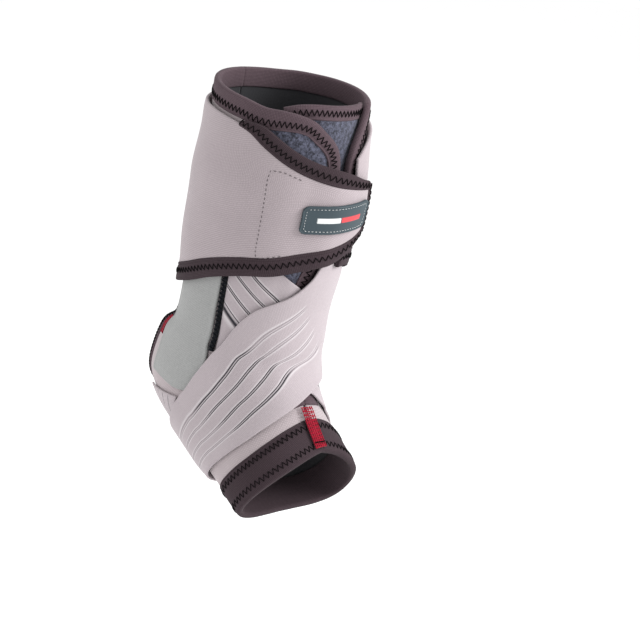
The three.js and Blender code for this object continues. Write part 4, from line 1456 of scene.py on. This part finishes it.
class BRACE_OT_tapes(bpy.types.Operator):
    """Make the crimson pull tapes at the instep and beside the heel"""

    bl_idname = "brace.tapes"
    bl_label = "Pull tapes"

    def execute(self, context):
        lifts = {"pull_tape_front": pull_lift, "pull_tape_back": level(STRAP_LEVEL)}
        for name, (tape, length, open_share) in PULL_TAPES.items():
            lift = lifts[name]
            at = pull_at(tape, open_share)
            shares = (stops(tape[2], 0.8, 0.5), stops(length * (1 - open_share), 1.0, 0.5))
            cloth_piece(name, at, lift, TAPE_FACE, finish("crimson tape"), shares=shares)
            ways = lattice_ways(pull_at(tape), tape[2], length, lift, TAPE_FACE)
            thread_piece(name + "_cords", [ways], 0.34, finish("crimson thread"), "crimson_tape")
        at = pull_at(PULL_FRONT)
        share = np.linspace(0.05, 0.95, 40)
        tack = at(share, np.full_like(share, 0.88))
        ways = zigzag_ways(tack, 1, 0, 0.35, 0.9, pull_lift, TAPE_WALL + 0.35)
        thread_piece("pull_tape_tack", [ways], 0.26, finish("dark thread"), "crimson_tape")
        return {"FINISHED"}


class BRACE_OT_stitches(bpy.types.Operator):
    """Sew the zigzag stitches of every band"""

    bl_idname = "brace.stitches"
    bl_label = "Zigzag stitches"

    def execute(self, context):
        sizes, _ = settings()
        pitch, reach, radius = sizes.zigzag_pitch / MM, sizes.zigzag_reach / MM, sizes.thread / MM
        dark = finish("dark thread")
        top = BODY_WALL + FOLDED_STITCH_RISE

        def rows(name, *lists, share=1.0):
            thread_piece(name, lists, radius * share, dark, "taupe_binding")

        for half, at, side in (("lateral", lateral_at, 1), ("medial", medial_at, -1)):
            front = front_path(at)
            front = front[front[:, 1] < LOW_END_FROM]
            rows(
                "flap_stitches_" + half,
                zigzag_ways(front, -side, lambda p: front_width(p) - 4.1, reach, pitch, level(0), top),
            )
            rows(
                "heel_stitches_" + half,
                zigzag_ways(heel_path(at), side, HEEL_BAND * 0.45, reach * 0.7, pitch * 0.8, level(0), top),
            )
        foot = foot_path()
        rows(
            "foot_stitches",
            zigzag_ways(foot, -1, FOOT_BAND - 4.4, reach, pitch, level(0), top, closed=True),
            zigzag_ways(foot, -1, 3.8, reach, pitch, level(0), top, closed=True),
            share=0.8,
        )
        cuff = cuff_edge_path()
        rows(
            "cuff_stitches",
            zigzag_ways(
                cuff, 1, lambda p: -np.maximum(cuff_edge_width(p) * 0.42, 1.8), reach * 0.9, pitch, cuff_lift,
                CUFF_WALL + STRIP_STITCH_RISE,
            ),
        )
        share = np.linspace(0, 1, 60)
        tongue = tongue_at(share, np.zeros_like(share))
        rows(
            "tongue_stitches",
            zigzag_ways(tongue, -1, -3.4, reach, pitch, level(TONGUE_LEVEL), TONGUE_WALL + STRIP_STITCH_RISE),
        )
        return {"FINISHED"}


def camera_matrix():
    back = Vector(
        (
            math.cos(CAMERA_AZIMUTH) * math.cos(CAMERA_RISE),
            -math.sin(CAMERA_AZIMUTH) * math.cos(CAMERA_RISE),
            math.sin(CAMERA_RISE),
        )
    )
    right = Vector((math.sin(CAMERA_AZIMUTH), math.cos(CAMERA_AZIMUTH), 0))
    up = back.cross(right)
    cos, sin = math.cos(CAMERA_ROLL), math.sin(CAMERA_ROLL)
    turned_right = right * cos + up * sin
    turned_up = up * cos - right * sin
    matrix = Matrix((turned_right, turned_up, back)).transposed().to_4x4()
    matrix.translation = back * CAMERA_DISTANCE
    return matrix


def add_light(name, place, size, power):
    bpy.ops.object.light_add(type="AREA", location=place)
    light = bpy.context.object
    light.name = name
    light.data.size = size
    light.data.energy = power
    light.rotation_euler = (Vector(LIT_PLACE) - place).to_track_quat("-Z", "Y").to_euler()


class BRACE_OT_stage(bpy.types.Operator):
    """Set up the pale floor, the soft lights and the camera"""

    bl_idname = "brace.stage"
    bl_label = "Stage"

    def execute(self, context):
        _, colours = settings()
        bpy.ops.object.select_all(action="DESELECT")
        bpy.ops.mesh.primitive_plane_add(size=FLOOR_SIZE, location=(0, 0, cad_box[0][2] - FLOOR_BELOW))
        floor = bpy.context.object
        floor.name = "floor"
        pale = Finish("pale floor")
        pale.surface(Base_Color=tuple(colours.floor), Roughness=0.9)
        floor.data.materials.append(pale.material)
        bpy.ops.object.camera_add()
        camera = bpy.context.object
        camera.matrix_world = camera_matrix()
        camera.data.sensor_width = SENSOR
        camera.data.lens = SENSOR * LENS_SHARE
        camera.data.shift_x = -SHIFT_PIXELS[0] / PICTURE
        camera.data.shift_y = SHIFT_PIXELS[1] / PICTURE
        context.scene.camera = camera
        turned = camera.matrix_world.to_3x3()
        right, up, back = (turned.col[i].copy() for i in range(3))
        for name, (across, above, behind), size, power in LIGHTS:
            add_light(name, right * across + up * above + back * behind, size, power)
        world = bpy.data.worlds.new("studio")
        world.use_nodes = True
        sky = world.node_tree.nodes["Background"]
        sky.inputs["Color"].default_value = (1, 1, 1, 1)
        sky.inputs["Strength"].default_value = SKY_STRENGTH
        context.scene.world = world
        context.scene.view_settings.view_transform = "Standard"
        return {"FINISHED"}


OPERATORS = (
    BRACE_OT_stage,
    BRACE_OT_body,
    BRACE_OT_tongue,
    BRACE_OT_bands,
    BRACE_OT_stays,
    BRACE_OT_straps,
    BRACE_OT_cuff,
    BRACE_OT_label,
    BRACE_OT_tapes,
    BRACE_OT_stitches,
)


class BRACE_PT_panel(bpy.types.Panel):
    """Lists what the brace is made of"""

    bl_idname = "BRACE_PT_panel"
    bl_label = "Ankle brace"
    bl_space_type = "VIEW_3D"
    bl_region_type = "UI"
    bl_category = "Brace"

    def draw(self, context):
        for operator in OPERATORS:
            self.layout.operator(operator.bl_idname)
        for group in settings():
            for key in group.__annotations__:
                self.layout.prop(group, key)


CLASSES = (BraceSizes, BraceColours, *OPERATORS, BRACE_PT_panel)


def register():
    for item in CLASSES:
        bpy.utils.register_class(item)
    bpy.types.Scene.brace_sizes = bpy.props.PointerProperty(type=BraceSizes)
    bpy.types.Scene.brace_colours = bpy.props.PointerProperty(type=BraceColours)


def unregister():
    del bpy.types.Scene.brace_colours
    del bpy.types.Scene.brace_sizes
    for item in reversed(CLASSES):
        bpy.utils.unregister_class(item)


def main():
    register()
    bpy.ops.brace.stage()
    bpy.ops.brace.body()
    bpy.ops.brace.tongue()
    bpy.ops.brace.bands()
    bpy.ops.brace.stays()
    bpy.ops.brace.straps()
    bpy.ops.brace.cuff()
    bpy.ops.brace.label()
    bpy.ops.brace.tapes()
    bpy.ops.brace.stitches()


if __name__ == "__main__":
    main()
